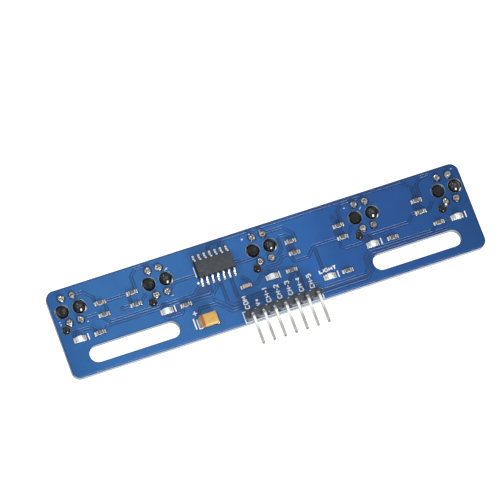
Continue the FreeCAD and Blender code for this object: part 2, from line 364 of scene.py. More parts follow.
@dataclass(frozen=True)
class BandedResin(Finish):
    """Moulded resin with a printed band across one end.

    Attributes:
        band: The band's colour, linear.
        start: Where the band starts along X, in millimetres in the row frame.
        end: Where the band ends.
    """

    band: Triple = (0.5, 0.2, 0.05)
    start: float = 0.0
    end: float = 1.0

    def colour(self, tree: NodeTree) -> Socket:
        """Lay the band over the resin, between its two edges.

        Args:
            tree: The material's tree.

        Returns:
            The colour.
        """
        wander, blur = 0.04 * MM, 0.03 * MM
        along = tree.reckon("ADD", tree.axis("X"), tree.span(tree.noise(0.4), -wander, wander))
        past = [tree.span(along, 0, 1, edge * MM - blur, edge * MM + blur) for edge in (self.start, self.end)]
        return tree.blend(Finish.colour(self, tree), (*self.band, 1.0), tree.reckon("SUBTRACT", *past), "MIX")


# Each mask's tone along the board is painted light that dims towards the right end.
MASK = SolderMask(
    "blue_solder_mask", (0.9, 0.9, 0.92), (1.0, 1.0, 1.0), (0.2, 0.3), 3.5, 0.35, 0.0022, shine=0.22,
    painted_falloff=((0.0, (0.013, 0.094, 0.290)), (0.1, (0.026, 0.135, 0.370)), (0.35, (0.027, 0.138, 0.390)),
           (0.6, (0.019, 0.122, 0.388)), (0.66, (0.013, 0.090, 0.315)), (0.84, (0.010, 0.076, 0.280)),
           (1.0, (0.003, 0.060, 0.212))))
BARE_MASK = SolderMask(
    "mask_over_laminate", (0.86, 0.88, 0.9), (1.0, 1.0, 1.0), (0.28, 0.4), 2.5, 0.3, 0.003, shine=0.2,
    painted_falloff=((0.0, (0.036, 0.088, 0.236)), (0.35, (0.040, 0.094, 0.245)), (0.6, (0.036, 0.084, 0.225)),
           (1.0, (0.010, 0.040, 0.135))))
# Painted shade: a dark mask for the copper's walls that face away from the near window.
SHADED_WALL_MASK = SolderMask(
    "mask_on_walls_painted_shade", (0.86, 0.88, 0.9), (1.0, 1.0, 1.0), (0.28, 0.4), 2.5, 0.3, 0.002, shine=0.2,
    painted_falloff=((0.0, (0.012, 0.034, 0.100)), (0.6, (0.012, 0.032, 0.092)), (1.0, (0.004, 0.018, 0.060))))

LAMINATE_EDGE = Finish("laminate_cut_edge", (0.16, 0.20, 0.245), (0.235, 0.28, 0.32), (0.5, 0.75), 0.5, 0.09,
                       0.012, stretch=(3.0, 3.0, 0.35))
# Painted light: a lighter copy of the cut edge for the peg holes' walls, which lie in the pegs' shade.
LIT_HOLE_WALL = replace(LAMINATE_EDGE, name="laminate_hole_wall", dark=(0.24, 0.29, 0.34),
                    light=(0.36, 0.41, 0.45))
SILK = Finish("white_legend_ink", (0.83, 0.86, 0.89), (0.93, 0.95, 0.97), (0.4, 0.55), 0.5, 0.08, 0.004)

TIN = Finish("tin_plate", (0.42, 0.41, 0.39), (0.80, 0.79, 0.76), (0.24, 0.4), 0.4, 0.16, 0.02, 1.0)
SOLDER = Finish("solder", (0.07, 0.068, 0.066), (0.80, 0.79, 0.76), (0.14, 0.32), 0.4, 0.3, 0.06, 1.0)
END_PLATE = Finish("flat_part_end_plate", (0.34, 0.33, 0.32), (0.90, 0.89, 0.86), (0.22, 0.38), 0.32, 0.16,
                   0.03, 1.0)
FILLET = Finish("bright_fillet", (0.40, 0.39, 0.38), (0.94, 0.93, 0.90), (0.2, 0.36), 0.32, 0.16, 0.04, 1.0)
CUT_METAL = Finish("sheared_metal", (0.16, 0.15, 0.14), (0.34, 0.31, 0.28), (0.3, 0.5), 0.3, 0.05, 0.008, 1.0)
CHIP_LEAD = Finish("chip_lead_plating", (0.62, 0.61, 0.59), (0.88, 0.87, 0.85), (0.26, 0.4), 0.4, 0.16, 0.01,
                   1.0)
PIN_METAL = Finish("tinned_pin_wire", (0.74, 0.73, 0.69), (0.88, 0.87, 0.84), (0.18, 0.32), 1.4, 0.08, 0.003,
                   1.0, stretch=(1.0, 4.0, 4.0))
# Painted shade: a darker copy of the pin metal for the pins' sides; its higher roughness is real.
SHADED_PIN_SIDE = replace(PIN_METAL, name="duller_pin_side", dark=(0.40, 0.39, 0.37), light=(0.54, 0.53, 0.50),
                   gloss=(0.3, 0.42))
# Painted shade: near-black strips laid in the creases at the resistors' ends.
SEAM_SHADE = Finish("dark_seam_painted_shade", (0.010, 0.009, 0.008), (0.030, 0.028, 0.025), (0.3, 0.5), 0.3, 0.08, 0.004)

HOUSING = Finish("sensor_housing_plastic", (0.010, 0.010, 0.011), (0.020, 0.020, 0.022), (0.34, 0.5), 1.5,
                 0.1, 0.006)
GLOSSY_PEG = Finish("polished_black_peg", (0.0015, 0.002, 0.003), (0.004, 0.005, 0.007), (0.1, 0.15), 0.9,
                    0.5, 0.008, coat=0.5, shine=0.7)
DULL_PEG = Finish("moulded_black_peg", (0.002, 0.003, 0.004), (0.008, 0.009, 0.013), (0.1, 0.2), 0.6, 0.3,
                  0.03, shine=0.6)
EMITTER_RESIN = Finish("blue_clear_epoxy", (0.30, 0.50, 0.95), (0.42, 0.62, 1.0), (0.03, 0.07), 2.0, 0.5,
                       0.001, clear=0.92)
DETECTOR_RESIN = Finish("black_epoxy", (0.004, 0.004, 0.006), (0.010, 0.009, 0.013), (0.05, 0.12), 1.5, 0.5,
                        0.001, coat=0.4)

CHIP_RESIN = Finish("chip_moulding_compound", (0.038, 0.044, 0.052), (0.056, 0.064, 0.075), (0.42, 0.6), 0.9,
                    0.05, 0.006)
# Painted shade: a darker copy of the moulding compound for the chip's sides; its higher roughness is real.
SHADED_CHIP_SIDE = replace(CHIP_RESIN, name="chip_side_compound", dark=(0.010, 0.011, 0.012),
                    light=(0.018, 0.019, 0.020), gloss=(0.5, 0.65), shine=0.2)
RESISTOR_GLAZE = Finish("resistor_overglaze", (0.085, 0.081, 0.080), (0.225, 0.215, 0.208), (0.2, 0.4), 0.3,
                        0.08, 0.008)
CERAMIC_WHITE = Finish("white_ceramic", (0.62, 0.61, 0.58), (0.8, 0.79, 0.76), (0.4, 0.6), 0.4, 0.06, 0.004)
CERAMIC_TAN = Finish("tan_ceramic", (0.42, 0.275, 0.185), (0.60, 0.43, 0.32), (0.35, 0.55), 0.35, 0.06, 0.004)
LIGHT_BASE = Finish("light_white_base", (0.84, 0.87, 0.87), (0.95, 0.96, 0.96), (0.3, 0.45), 0.5, 0.07, 0.003)
LIGHT_RESIN = Finish("light_clear_resin", (0.90, 0.96, 0.96), (0.98, 1.0, 1.0), (0.06, 0.14), 0.8, 0.3, 0.001,
                     clear=0.12, coat=0.3)
PHOSPHOR = Finish("light_die", (0.75, 0.80, 0.55), (0.86, 0.90, 0.70), (0.3, 0.5), 0.2, 0.05, 0.003)
HEADER_PLASTIC = Finish("header_plastic", (0.034, 0.042, 0.055), (0.060, 0.072, 0.092), (0.16, 0.3), 0.8,
                        0.09, 0.006)
PALE_FLOOR = Finish("studio_floor", (0.36, 0.36, 0.36), (0.38, 0.38, 0.38), (0.55, 0.7), 90.0, 2.0, 0.0,
                    glow=1.0)


# --- forms ---

class Form:
    """A mesh in the making, in millimetres in the row frame."""

    def __init__(self) -> None:
        """Start with nothing."""
        self.bm = bmesh.new()

    def painted(self, verts: Iterable[bmesh.types.BMVert], material: int) -> Faces:
        """Give the faces on some vertices a material.

        Args:
            verts: The vertices.
            material: The material's place in the piece's list.

        Returns:
            The faces.
        """
        faces = list({face for vert in verts for face in vert.link_faces})
        for face in faces:
            face.material_index = material
        return faces

    def box(self, size: Sequence[float], middle: Sequence[float], material: int = 0,
            turn: Matrix | None = None) -> Faces:
        """Add a box.

        Args:
            size: Its length along each axis.
            middle: Its middle.
            material: The material's place in the piece's list.
            turn: A rotation about its middle.

        Returns:
            Its faces.
        """
        matrix = Matrix.Translation(middle) @ (turn or Matrix()) @ Matrix.Diagonal((*size, 1.0))
        return self.painted(bmesh.ops.create_cube(self.bm, size=1.0, matrix=matrix)["verts"], material)

    def block(self, size: Sequence[float], middle: Sequence[float], edge: float, segments: int = 1,
              material: int = 0) -> None:
        """Add a box with softened edges.

        Args:
            size: Its length along each axis.
            middle: Its middle.
            edge: The width of its bevels.
            segments: Their number of steps.
            material: The material's place in the piece's list.
        """
        self.soften(self.box(size, middle, material), edge, segments)

    def rod(self, radius: float, low: Sequence[float], height: float, segments: int = 24,
            material: int = 0) -> Faces:
        """Add an upright cylinder.

        Args:
            radius: Its radius.
            low: The middle of its foot.
            height: Its height.
            segments: Its number of sides.
            material: The material's place in the piece's list.

        Returns:
            Its faces.
        """
        middle = Vector(low) + UP * height / 2
        made = bmesh.ops.create_cone(self.bm, cap_ends=True, segments=segments, radius1=radius,
                                     radius2=radius, depth=height, matrix=Matrix.Translation(middle))
        return self.painted(made["verts"], material)

    def turned(self, profile: Path, foot: Sequence[float], segments: int = 24, material: int = 0) -> Faces:
        """Add a lathe-turned shape.

        Args:
            profile: Its radius and height, point by point; it starts and ends on the axis.
            foot: The point on the axis that heights are counted from.
            segments: The number of steps round it.
            material: The material's place in the piece's list.

        Returns:
            Its faces.
        """
        verts = [self.bm.verts.new((radius, 0, height)) for radius, height in profile]
        edges = [self.bm.edges.new(pair) for pair in zip(verts, verts[1:])]
        bmesh.ops.spin(self.bm, geom=verts + edges, cent=(0, 0, 0), axis=UP, dvec=(0, 0, 0),
                       angle=math.tau, steps=segments, use_merge=True, use_duplicate=False)
        made = self.connected(verts)
        bmesh.ops.remove_doubles(self.bm, verts=made, dist=1e-4)
        made = self.connected([vert for vert in verts if vert.is_valid])
        bmesh.ops.transform(self.bm, matrix=Matrix.Translation(foot), verts=made)
        return self.painted(made, material)

    def connected(self, verts: Iterable[bmesh.types.BMVert]) -> list[bmesh.types.BMVert]:
        """Find every vertex that edges join to some vertices.

        Args:
            verts: The vertices to start from.

        Returns:
            Those and the ones joined to them.
        """
        found, waiting = set(verts), list(verts)
        while waiting:
            for edge in waiting.pop().link_edges:
                for vert in edge.verts:
                    if vert not in found:
                        found.add(vert)
                        waiting.append(vert)
        return list(found)

    def prism(self, outline: Sequence[Sequence[float]], along: Sequence[float]) -> Faces:
        """Add a flat outline pulled along a vector.

        Args:
            outline: Its corners, in order.
            along: How far and which way it is pulled.

        Returns:
            Its faces.
        """
        first = [self.bm.verts.new(corner) for corner in outline]
        face = self.bm.faces.new(first)
        pulled = bmesh.ops.extrude_face_region(self.bm, geom=[face])["geom"]
        moved = [item for item in pulled if isinstance(item, bmesh.types.BMVert)]
        bmesh.ops.translate(self.bm, vec=along, verts=moved)
        return self.painted(first + moved, 0)

    def loft(self, rings: Sequence[Sequence[Sequence[float]]]) -> Faces:
        """Add a closed shape that runs through several rings of corners.

        Args:
            rings: The rings from one end to the other, each with as many corners.

        Returns:
            Its faces.
        """
        made = [[self.bm.verts.new(corner) for corner in ring] for ring in rings]
        for lower, upper in zip(made, made[1:]):
            for i in range(len(lower)):
                self.bm.faces.new((lower[i - 1], lower[i], upper[i], upper[i - 1]))
        self.bm.faces.new(made[0][::-1])
        self.bm.faces.new(made[-1])
        return self.painted([vert for ring in made for vert in ring], 0)

    def ribbon(self, points: Path, width: float, low: float, high: float, top: float | None = None) -> Faces:
        """Add a flat strip of even width along a path on the board, with mitred corners.

        Args:
            points: The path, about the board's middle.
            width: The strip's width at its underside.
            low: Its underside above the component side.
            high: Its upper side.
            top: Its width at its upper side, if that differs.

        Returns:
            Its faces.
        """
        path = [Vector(point) for point in points]
        steps = [(b - a).normalized() for a, b in zip(path, path[1:])]
        rings = []
        for wide, level in ((width, low), (width if top is None else top, high)):
            left, right = [], []
            for place, before, after in zip(path, [steps[0], *steps], [*steps, steps[-1]]):
                mitre = Vector((-(before + after).y, (before + after).x))
                mitre *= wide / 2 / max(0.25, mitre.dot(Vector((-before.y, before.x))))
                left.append(on_board(*(place + mitre), level))
                right.append(on_board(*(place - mitre), level))
            rings.append(right + left[::-1])
        return self.loft(rings)

    def soften(self, faces: Iterable[bmesh.types.BMFace], width: float, segments: int = 2,
               beyond: float = 25.0) -> None:
        """Bevel the sharp edges of some faces.

        Args:
            faces: The faces.
            width: The bevel's width.
            segments: Its number of steps.
            beyond: The angle in degrees past which an edge counts as sharp.
        """
        edges = {edge for face in faces if face.is_valid for edge in face.edges}
        touched = {face for edge in edges for face in edge.link_faces}
        bmesh.ops.recalc_face_normals(self.bm, faces=list(touched))
        sharp = [edge for edge in edges if edge.calc_face_angle(0) > math.radians(beyond)]
        self.bevel(sharp, width, segments)

    def bevel(self, edges: list[bmesh.types.BMEdge], width: float, segments: int) -> None:
        """Bevel some edges to a width, in a number of steps."""
        bmesh.ops.bevel(self.bm, geom=edges, offset=width, offset_type="OFFSET", affect="EDGES",
                        segments=segments, profile=0.5, material=-1, clamp_overlap=True)

    def gather(self, other: "Form") -> None:
        """Take in another form, which is left as it is.

        Args:
            other: The other form.
        """
        mesh = bpy.data.meshes.new("gathered")
        other.bm.to_mesh(mesh)
        self.bm.from_mesh(mesh)
        bpy.data.meshes.remove(mesh)

    def carved(self, other: "Form", carving: Carving = Carving.CUT) -> "Form":
        """Cut another form out of this one, or join it on.

        Args:
            other: The other form, which is used up.
            carving: Which of the two is done.

        Returns:
            The result, as a new form.
        """
        base, tool = self.as_object("carving"), other.as_object("carving_tool")
        modifier = base.modifiers.new("carve", "BOOLEAN")
        modifier.object, modifier.operation, modifier.solver = tool, carving.value, "EXACT"
        modifier.use_self = True
        evaluated = base.evaluated_get(bpy.context.evaluated_depsgraph_get())
        result = Form()
        result.bm.from_mesh(evaluated.to_mesh())
        evaluated.to_mesh_clear()
        for item in (base, tool):
            mesh = item.data
            bpy.data.objects.remove(item)
            bpy.data.meshes.remove(mesh)
        return result

    def as_object(self, name: str) -> bpy.types.Object:
        """Make an object of the form as it stands and use the form up.

        Args:
            name: The object's name.

        Returns:
            The object, in the scene.
        """
        bmesh.ops.recalc_face_normals(self.bm, faces=self.bm.faces)
        mesh = bpy.data.meshes.new(name)
        self.bm.to_mesh(mesh)
        self.bm.free()
        made = bpy.data.objects.new(name, mesh)
        bpy.context.scene.collection.objects.link(made)
        return made

    def install(self, name: str, finishes: Sequence[Finish], nodes: Sequence[str], slot: str,
                crease: float = 30.0) -> None:
        """Make the form a finished piece that rides on the board.

        Args:
            name: The piece's name.
            finishes: Its finishes, in the order of its material places.
            nodes: The CAD nodes that it stands for.
            slot: The record's material slot; not used.
            crease: The angle in degrees past which an edge is shaded sharp.
        """
        for face in self.bm.faces:
            face.smooth = True
        for edge in self.bm.edges:
            edge.smooth = edge.calc_face_angle(0) < math.radians(crease)
        bmesh.ops.scale(self.bm, vec=(MM, MM, MM), verts=self.bm.verts)
        piece = self.as_object(name)
        for finish in finishes:
            piece.data.materials.append(finish.material())
        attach(piece, "root")
        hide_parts(*nodes)
        log.info("%s: %d faces, stands for %s", name, len(piece.data.polygons), ", ".join(nodes))


def copy_of(node: str) -> Form:
    """Copy a CAD node's shape, its loose triangles merged into whole faces.

    Args:
        node: The node's name.

    Returns:
        The copy, as a form.
    """
    form = Form()
    form.bm.from_mesh(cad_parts[node].data)
    bmesh.ops.scale(form.bm, vec=(1 / MM,) * 3, verts=form.bm.verts)
    bmesh.ops.remove_doubles(form.bm, verts=form.bm.verts, dist=2e-3)
    bmesh.ops.dissolve_limit(form.bm, angle_limit=math.radians(1), verts=form.bm.verts, edges=form.bm.edges)
    return form


# --- the circuit board ---

TOP_ROUTES: tuple[tuple[Point, ...], ...] = (
    # first sensor and its light
    ((-41.9, 7.95), (-40.1, 7.95), (-38.4, 6.3), (-38.4, 4.9)),
    ((-41.9, 2.3), (-38.6, 2.3)),
    ((-36.35, 4.2), (-36.35, 2.0)),
    ((-37.9, 1.3), (-36.5, -0.3), (-17.1, -0.3), (-15.5, 1.35), (-14.7, 1.35)),
    ((-45.05, -1.4), (-45.05, -0.4), (-44.7, -0.05), (-41.3, -0.05), (-40.4, -0.9), (-40.4, -1.5)),
    ((-38.4, -1.7), (-37.5, -0.9), (-13.9, -0.9), (-13.35, -0.35), (-13.35, 0.9)),
    # second sensor and its light
    ((-36.2, 4.45), (-31.0, 4.45)),
    ((-30.9, 4.2), (-30.9, 2.0)),
    ((-31.0, 1.7), (-33.0, 1.7)),
    ((-29.0, 1.8), (-28.5, 2.0), (-27.6, 2.85)),
    ((-28.95, 4.7), (-28.95, 8.0), (-27.65, 9.3), (-24.3, 9.3), (-23.2, 8.3)),
    ((-21.9, 2.4), (-20.4, 3.75), (-15.0, 3.75)),
    ((-25.3, -2.4), (-24.6, -3.5), (-21.2, -3.5), (-20.7, -3.0), (-20.7, -2.2)),
    ((-18.7, -1.75), (-18.2, -1.55), (-13.3, -1.55), (-11.6, 0.15), (-12.0, 0.9)),
    # chip to the header
    ((-18.3, -5.2), (-17.0, -3.7), (-13.2, -3.7), (-10.55, -6.35), (-6.3, -6.35), (-5.0, -7.7)),
    ((-13.3, -2.8), (-12.95, -2.9), (-10.1, -5.75), (-3.5, -5.75), (-2.2, -7.1), (-2.2, -7.8)),
    ((-10.75, 0.9), (-10.75, -4.1), (-9.65, -5.15), (-1.4, -5.15), (0.3, -6.85), (0.3, -7.8)),
    ((-8.3, 0.9), (-8.3, -3.6), (-7.4, -4.55), (3.0, -4.55), (5.0, -2.55), (5.0, -2.3)),
    ((-10.8, 8.1), (-10.8, 9.0), (-10.2, 9.6), (35.0, 9.6), (36.8, 7.8), (36.8, 5.2), (36.0, 4.6)),
    ((-8.26, 8.1), (-8.26, 9.1)),
    # third sensor and its light
    ((-6.7, 4.05), (-5.6, 4.05), (-5.0, 3.4), (-1.5, 3.4), (-0.9, 2.7)),
    ((-5.7, -0.1), (-4.7, -1.1), (-4.7, -1.8)),
    ((-4.5, -2.1), (-3.1, -2.1), (-0.6, 0.4), (-0.1, 0.6), (2.9, 0.6), (4.15, 1.85), (5.8, 1.85)),
    ((-0.9, -1.5), (-0.55, -0.55), (3.3, -0.55), (4.2, -1.5)),
    ((2.4, 8.1), (6.35, 8.1), (8.2, 6.25), (8.2, 4.8)),
    ((2.5, 2.25), (3.5, 2.5), (4.6, 3.65), (4.6, 5.8), (5.05, 6.25), (6.3, 6.25), (7.5, 5.05), (7.8, 4.8)),
    ((6.0, 4.2), (6.0, 2.0)),
    ((6.1, 1.5), (6.1, 0.3), (6.5, -0.1), (9.5, -0.1), (11.4, 1.85), (17.2, 1.85)),
    ((11.55, 1.85), (11.55, -5.4)),
    ((6.2, -2.0), (6.2, -6.4), (5.6, -7.0), (5.6, -7.8)),
    # fourth sensor and its light
    ((19.2, 4.8), (19.2, 7.9), (20.4, 9.05), (24.4, 9.05), (25.2, 8.3)),
    ((17.7, 6.6), (18.35, 5.9), (18.35, 3.1), (19.1, 2.1)),
    ((17.25, 4.2), (17.25, 2.0)),
    ((19.6, 2.0), (20.8, 3.2)),
    ((17.25, 1.4), (17.25, -0.15), (17.95, -0.85), (22.1, -0.85), (23.3, 0.35), (33.3, 0.35), (34.8, 1.85),
     (35.7, 1.85)),
    ((26.5, -0.3), (27.5, -1.3)),
    # fifth sensor, its light, and the tracks round the right slot
    ((37.9, 4.8), (37.9, 7.8), (39.4, 9.3), (41.3, 9.3), (42.3, 8.5)),
    ((35.85, 4.2), (35.85, 2.0)),
    ((36.9, 4.3), (36.9, 3.3), (37.9, 2.2)),
    ((38.2, 1.8), (38.9, 2.0), (39.7, 2.8)),
    ((41.0, -1.75), (42.8, -1.75)),
    ((7.0, -6.5), (9.4, -6.5), (10.7, -7.75), (20.1, -7.75), (21.35, -6.5), (21.35, -4.2), (22.6, -2.95),
     (37.8, -3.15), (38.7, -2.2)),
    ((8.9, -8.75), (20.5, -8.75), (22.05, -7.2), (22.05, -4.6), (23.0, -3.65), (41.5, -3.7)),
)

BOTTOM_ROUTES: tuple[tuple[Point, ...], ...] = (
    ((-33.0, 1.7), (-33.0, -1.2), (-31.4, -2.8), (-13.3, -2.8)),
    ((-27.4, 2.9), (-27.4, 0.0), (-26.0, -1.4), (-7.2, -1.4), (-5.7, -0.1)),
    ((-8.26, 9.1), (-6.5, 7.4), (-6.5, -4.6), (-4.68, -6.4), (-4.68, -7.8)),
    ((17.7, 6.6), (15.5, 6.6), (13.0, 4.1), (13.0, -3.0), (8.1, -7.8)),
    ((20.8, 3.2), (20.8, -0.5), (19.0, -2.3), (13.0, -2.3)),
    ((39.7, 2.8), (38.0, 1.1), (34.0, 1.1), (30.0, -2.9), (22.5, -2.9), (18.3, 1.3), (16.0, 1.3),
     (5.5, -7.8)),
    ((-42.5, 8.0), (-40.5, 9.4), (-9.0, 9.4), (-8.26, 9.1)),
)

VIAS: tuple[Point, ...] = ((-33.0, 1.7), (-27.45, 2.95), (-13.3, -2.8), (-8.26, 9.1), (-5.7, -0.1),
                           (17.7, 6.65), (20.85, 3.25), (39.75, 2.85))

BARE_PATCHES: tuple[tuple[Point, ...], ...] = (
    ((-16.9, -0.6), (-15.2, 1.15), (-13.6, 1.1), (-13.6, -0.6)),
    ((-22.4, -3.0), (-20.9, -3.0), (-20.9, -0.9), (-22.4, -0.9)),
    ((-25.3, -3.25), (-22.3, -3.25), (-22.3, -2.6), (-25.3, -2.6)),
    ((6.45, 2.2), (7.4, 2.2), (7.4, 4.0), (6.45, 4.0)),
    ((17.5, 2.2), (18.1, 2.2), (18.1, 4.0), (17.5, 4.0)),
)

BARE_STRIP: tuple[Point, ...] = ((9.3, -7.9), (10.6, -8.25), (20.3, -8.25), (21.7, -6.85), (21.7, -4.4),
                                 (22.75, -3.3), (37.5, -3.4))


@dataclass
class Cutters:
    """The cutters that clear one side's copper; no two stand out past it by the same length.

    Attributes:
        low: The copper's lower height.
        high: Its upper height.
        counter: The numbers of the cutters.
    """

    low: float
    high: float
    counter: Iterator[int]

    def __post_init__(self) -> None:
        """Start with no cutters."""
        self.form = Form()

    def levels(self) -> Point:
        """Return the next cutter's lower and upper height."""
        reach = 0.1 + 0.0007 * next(self.counter)
        return self.low - reach, self.high + reach

    def strip(self, route: Path, width: float) -> None:
        """Add a strip along a route, with walls that lean out from the board.

        Args:
            route: The route.
            width: The strip's width, half way up.
        """
        bottom, top = self.levels()
        flare = math.copysign(top - bottom, self.high)
        self.form.ribbon(route, width - flare, bottom, top, width + flare)

    def slot(self, ends: Path, width: float) -> None:
        """Add a straight-walled slot between its two round ends.

        Args:
            ends: The middle of each round end.
            width: The slot's width.
        """
        self.form.ribbon(ends, width, *self.levels())
        for end in ends:
            self.disc(on_board(*end), width / 2, 40)

    def disc(self, place: Vector, radius: float, segments: int = 28) -> None:
        """Add a disc, in a number of sides."""
        bottom, top = self.levels()
        self.form.rod(radius, (place.x, place.y, bottom), top - bottom, segments)

    def patch(self, corners: Path) -> None:
        """Add a flat shape, given by its corners about the board's middle."""
        bottom, top = self.levels()
        self.form.prism([on_board(*corner, bottom) for corner in corners], UP * (top - bottom))

    def block(self, middle: Vector, size: Sequence[float]) -> None:
        """Add a block over a pad, half of it above the component side."""
        reach = self.low - self.levels()[0]
        self.form.box((*size, 2 * reach), (middle.x, middle.y, 0))


@dataclass
class CircuitBoard:
    """The laminate, its copper under lacquer, its bare pads and its plated holes.

    Attributes:
        pour_margin: How far the copper stays from the board's outline.
        copper: The copper's height with its lacquer.
        track: The width of a track.
        gap: The width of the gap beside a track.
        pad_height: The height of a bare tinned pad.
        hole_margin: How far the copper stays from a drilled hole's wall.
        chip_pad: The length and width of a resistor's pads.
        light_pad: The length and width of a light's pads.
        strap_pad: The length and width of the tantalum capacitor's pads.
        lead_pad: The width and length of the pad under a lead of the chip.
        ring_radius: The outer radius of a drilled pad.
        chamfer: The length cut off each corner of the board.
        corner: The width of the bevel on each cut corner's edges.
        sink: How deep the copper sits in the laminate.
        rim: The width of the bare laminate round a peg's hole.
        slot: The length and width of a mounting slot.
        slot_middle: The middle of the right slot, about the board's middle.
        via_radius: The outer radius of a plated hole under the lacquer.
        bare_strip: The width of the strip without copper.
        counter: The numbers of the cutters.
    """

    pour_margin: float = 0.2
    copper: float = 0.065
    track: float = 0.3
    gap: float = 0.21
    pad_height: float = 0.07
    hole_margin: float = 0.18
    chip_pad: Point = (0.72, 0.84)
    light_pad: Point = (0.8, 1.2)
    strap_pad: Point = (1.1, 2.3)
    lead_pad: Point = (0.5, 1.25)
    ring_radius: float = 0.8
    chamfer: float = 1.15
    corner: float = 0.6
    sink: float = 0.02
    rim: float = 0.1
    slot: Point = (20.7, 3.9)
    slot_middle: Point = (33.0, -6.15)
    via_radius: float = 0.34
    bare_strip: float = 0.5
    counter: Iterator[int] = field(default_factory=lambda: count(1), init=False)

    def build(self) -> None:
        """Build every piece of the bare board."""
        self.laminate()
        self.copper_layer(Side.TOP, TOP_ROUTES)
        self.copper_layer(Side.BOTTOM, BOTTOM_ROUTES)
        self.pads()
        self.vias()

    def laminate(self) -> None:
        """Build the glass-fibre board itself, lacquered above and below, with pale cut edges."""
        form = copy_of("circuit_board")
        holes = list(self.peg_holes())
        form.bevel([edge for edge in form.bm.edges if self.is_corner(edge)], self.corner, 4)
        for hole, radius in holes:
            form.bevel([edge for edge in form.bm.edges if self.is_rim(edge, hole, radius)], self.rim, 1)
        form.bm.normal_update()
        for face in form.bm.faces:
            middle = face.calc_center_median().xy
            in_hole = any((middle - hole).length < radius + 2 * self.rim for hole, radius in holes)
            # Painted light: walls round a peg hole take the lighter copy of the cut edge.
            face.material_index = 0 if abs(face.normal.z) > 0.9 else 1 + int(in_hole)
        finishes = [BARE_MASK, LAMINATE_EDGE, LIT_HOLE_WALL]
        form.install("board_laminate", finishes, ["circuit_board"], "board_laminate")

    def is_rim(self, edge: bmesh.types.BMEdge, hole: Vector, radius: float) -> bool:
        """Return whether an edge lies on the upper rim of a peg's hole."""
        return all(abs(vert.co.z - BOARD_HIGH.z) < 0.01 and abs((vert.co.xy - hole).length - radius) < 0.03
                   for vert in edge.verts)

    def is_corner(self, edge: bmesh.types.BMEdge) -> bool:
        """Tell whether an edge is an upright one at a cut corner of the board.

        Args:
            edge: The edge.

        Returns:
            True if it is.
        """
        start, end = (vert.co for vert in edge.verts)
        at_end = abs(start.x) > 0.95 * BOARD_HIGH.x
        return abs((start - end).z) > 1.5 and at_end and edge.calc_face_angle(0) > math.radians(30)

    def peg_holes(self) -> Iterator[tuple[Vector, float]]:
        """Give the middle and radius of every hole for a sensor's peg."""
        for number in SENSORS:
            yield from ReflectiveSensor(number).holes()

    def pad_places(self) -> Iterator[tuple[Vector, Point]]:
        """Give the middle and size of every pad under a surface-mounted part."""
        for names, reach, size in ((FLAT_CHIPS, 0.93, self.chip_pad), (LIGHTS, 1.02, self.light_pad)):
            for name in names:
                for side in WAYS:
                    yield middle_of(name) + AXIS_X * side * reach, size
        low, high = box_of("tantalum_capacitor_terminals")
        for x in (low.x, high.x):
            yield Vector((x, (low.y + high.y) / 2, 0)), self.strap_pad
        for toe, side in ComparatorChip().toes():
            yield toe - AXIS_Y * side * 0.05, self.lead_pad

    def ring_places(self) -> Iterator[Vector]:
        """Give the middle of every drilled pad."""
        for number in SENSORS:
            yield from ReflectiveSensor(number).lead_places()
        yield from PinHeader().tail_places()

    def copper_layer(self, side: Side, routes: Sequence[Path]) -> None:
        """Build one side's copper: the pour, cut back round everything, and the tracks in it.

        Args:
            side: The side of the board.
            routes: The tracks on it.
        """
        low, high = self.levels(side)
        slope = (high - low) * side.value
        pour = Form()
        pour.loft([self.outline(self.pour_margin + max(0, -slope), low),
                   self.outline(self.pour_margin + max(0, slope), high)])
        cutters = Cutters(low, high, self.counter)
        for route in routes:
            cutters.strip(route, self.track + 2 * self.gap)
        self.clear_holes(cutters)
        if side is Side.TOP:
            self.clear_bare_places(cutters)
        pour = pour.carved(cutters.form)
        tracks = Form()
        for route in routes:
            tracks.ribbon(route, self.track + slope, low, high, self.track - slope)
        pour = pour.carved(tracks, Carving.JOIN)
        pour.bm.normal_update()
        # Painted shade: walls that do not face the near window, towards -Y, take the dark mask; the rest keep
        # the plain one.
        for face in pour.bm.faces:
            face.material_index = int(abs(face.normal.z) < 0.9 and face.normal.y > -0.3)
        name = f"copper_{side.name.lower()}"
        pour.install(name, [MASK, SHADED_WALL_MASK], ["circuit_board"], "board_laminate")

    def clear_bare_places(self, cutters: Cutters) -> None:
        """Add cutters round the flat parts' pads and over the places without copper.

        Args:
            cutters: The cutters of the component side.
        """
        for middle, size in self.pad_places():
            cutters.block(middle, [side + 2 * self.gap for side in size])
        for patch in BARE_PATCHES:
            cutters.patch(patch)
        cutters.strip(BARE_STRIP, self.bare_strip)

    def clear_holes(self, cutters: Cutters) -> None:
        """Add cutters round the slots, the peg holes, the drilled pads and the plated holes.

        Args:
            cutters: The cutters of one side.
        """
        length, width = self.slot
        middle, y = self.slot_middle
        half = (length - width) / 2
        for side in WAYS:
            cutters.slot([(side * middle + end * half, y) for end in WAYS], width + 2 * self.hole_margin)
        for hole, radius in self.peg_holes():
            cutters.disc(hole, radius + self.hole_margin * 0.7, 32)
        for place in self.ring_places():
            cutters.disc(place, self.ring_radius + self.gap)
        for via in VIAS:
            cutters.disc(on_board(*via), self.via_radius + self.gap)

    def outline(self, margin: float, level: float) -> list[Vector]:
        """Draw the board's outline with its cut corners.

        Args:
            margin: How far it is drawn in.
            level: Its height above the component side.

        Returns:
            Its corners, in order.
        """
        half = (BOARD_HIGH - BOARD_LOW) / 2
        x, y = half.x - margin, half.y - margin
        corner = self.chamfer - margin * 0.59
        places = [(corner - x, -y), (x - corner, -y), (x, corner - y), (x, y - corner),
                  (x - corner, y), (corner - x, y), (-x, y - corner), (-x, corner - y)]
        return [on_board(*place, level) for place in places]

    def levels(self, side: Side) -> tuple[float, float]:
        """Work out where the copper lies on one side.

        Args:
            side: The side of the board.

        Returns:
            Its lower and upper height above the component side.
        """
        if side is Side.TOP:
            return -self.sink, self.copper
        underside = BOARD_LOW.z - BOARD_HIGH.z
        return underside - self.copper, underside + self.sink

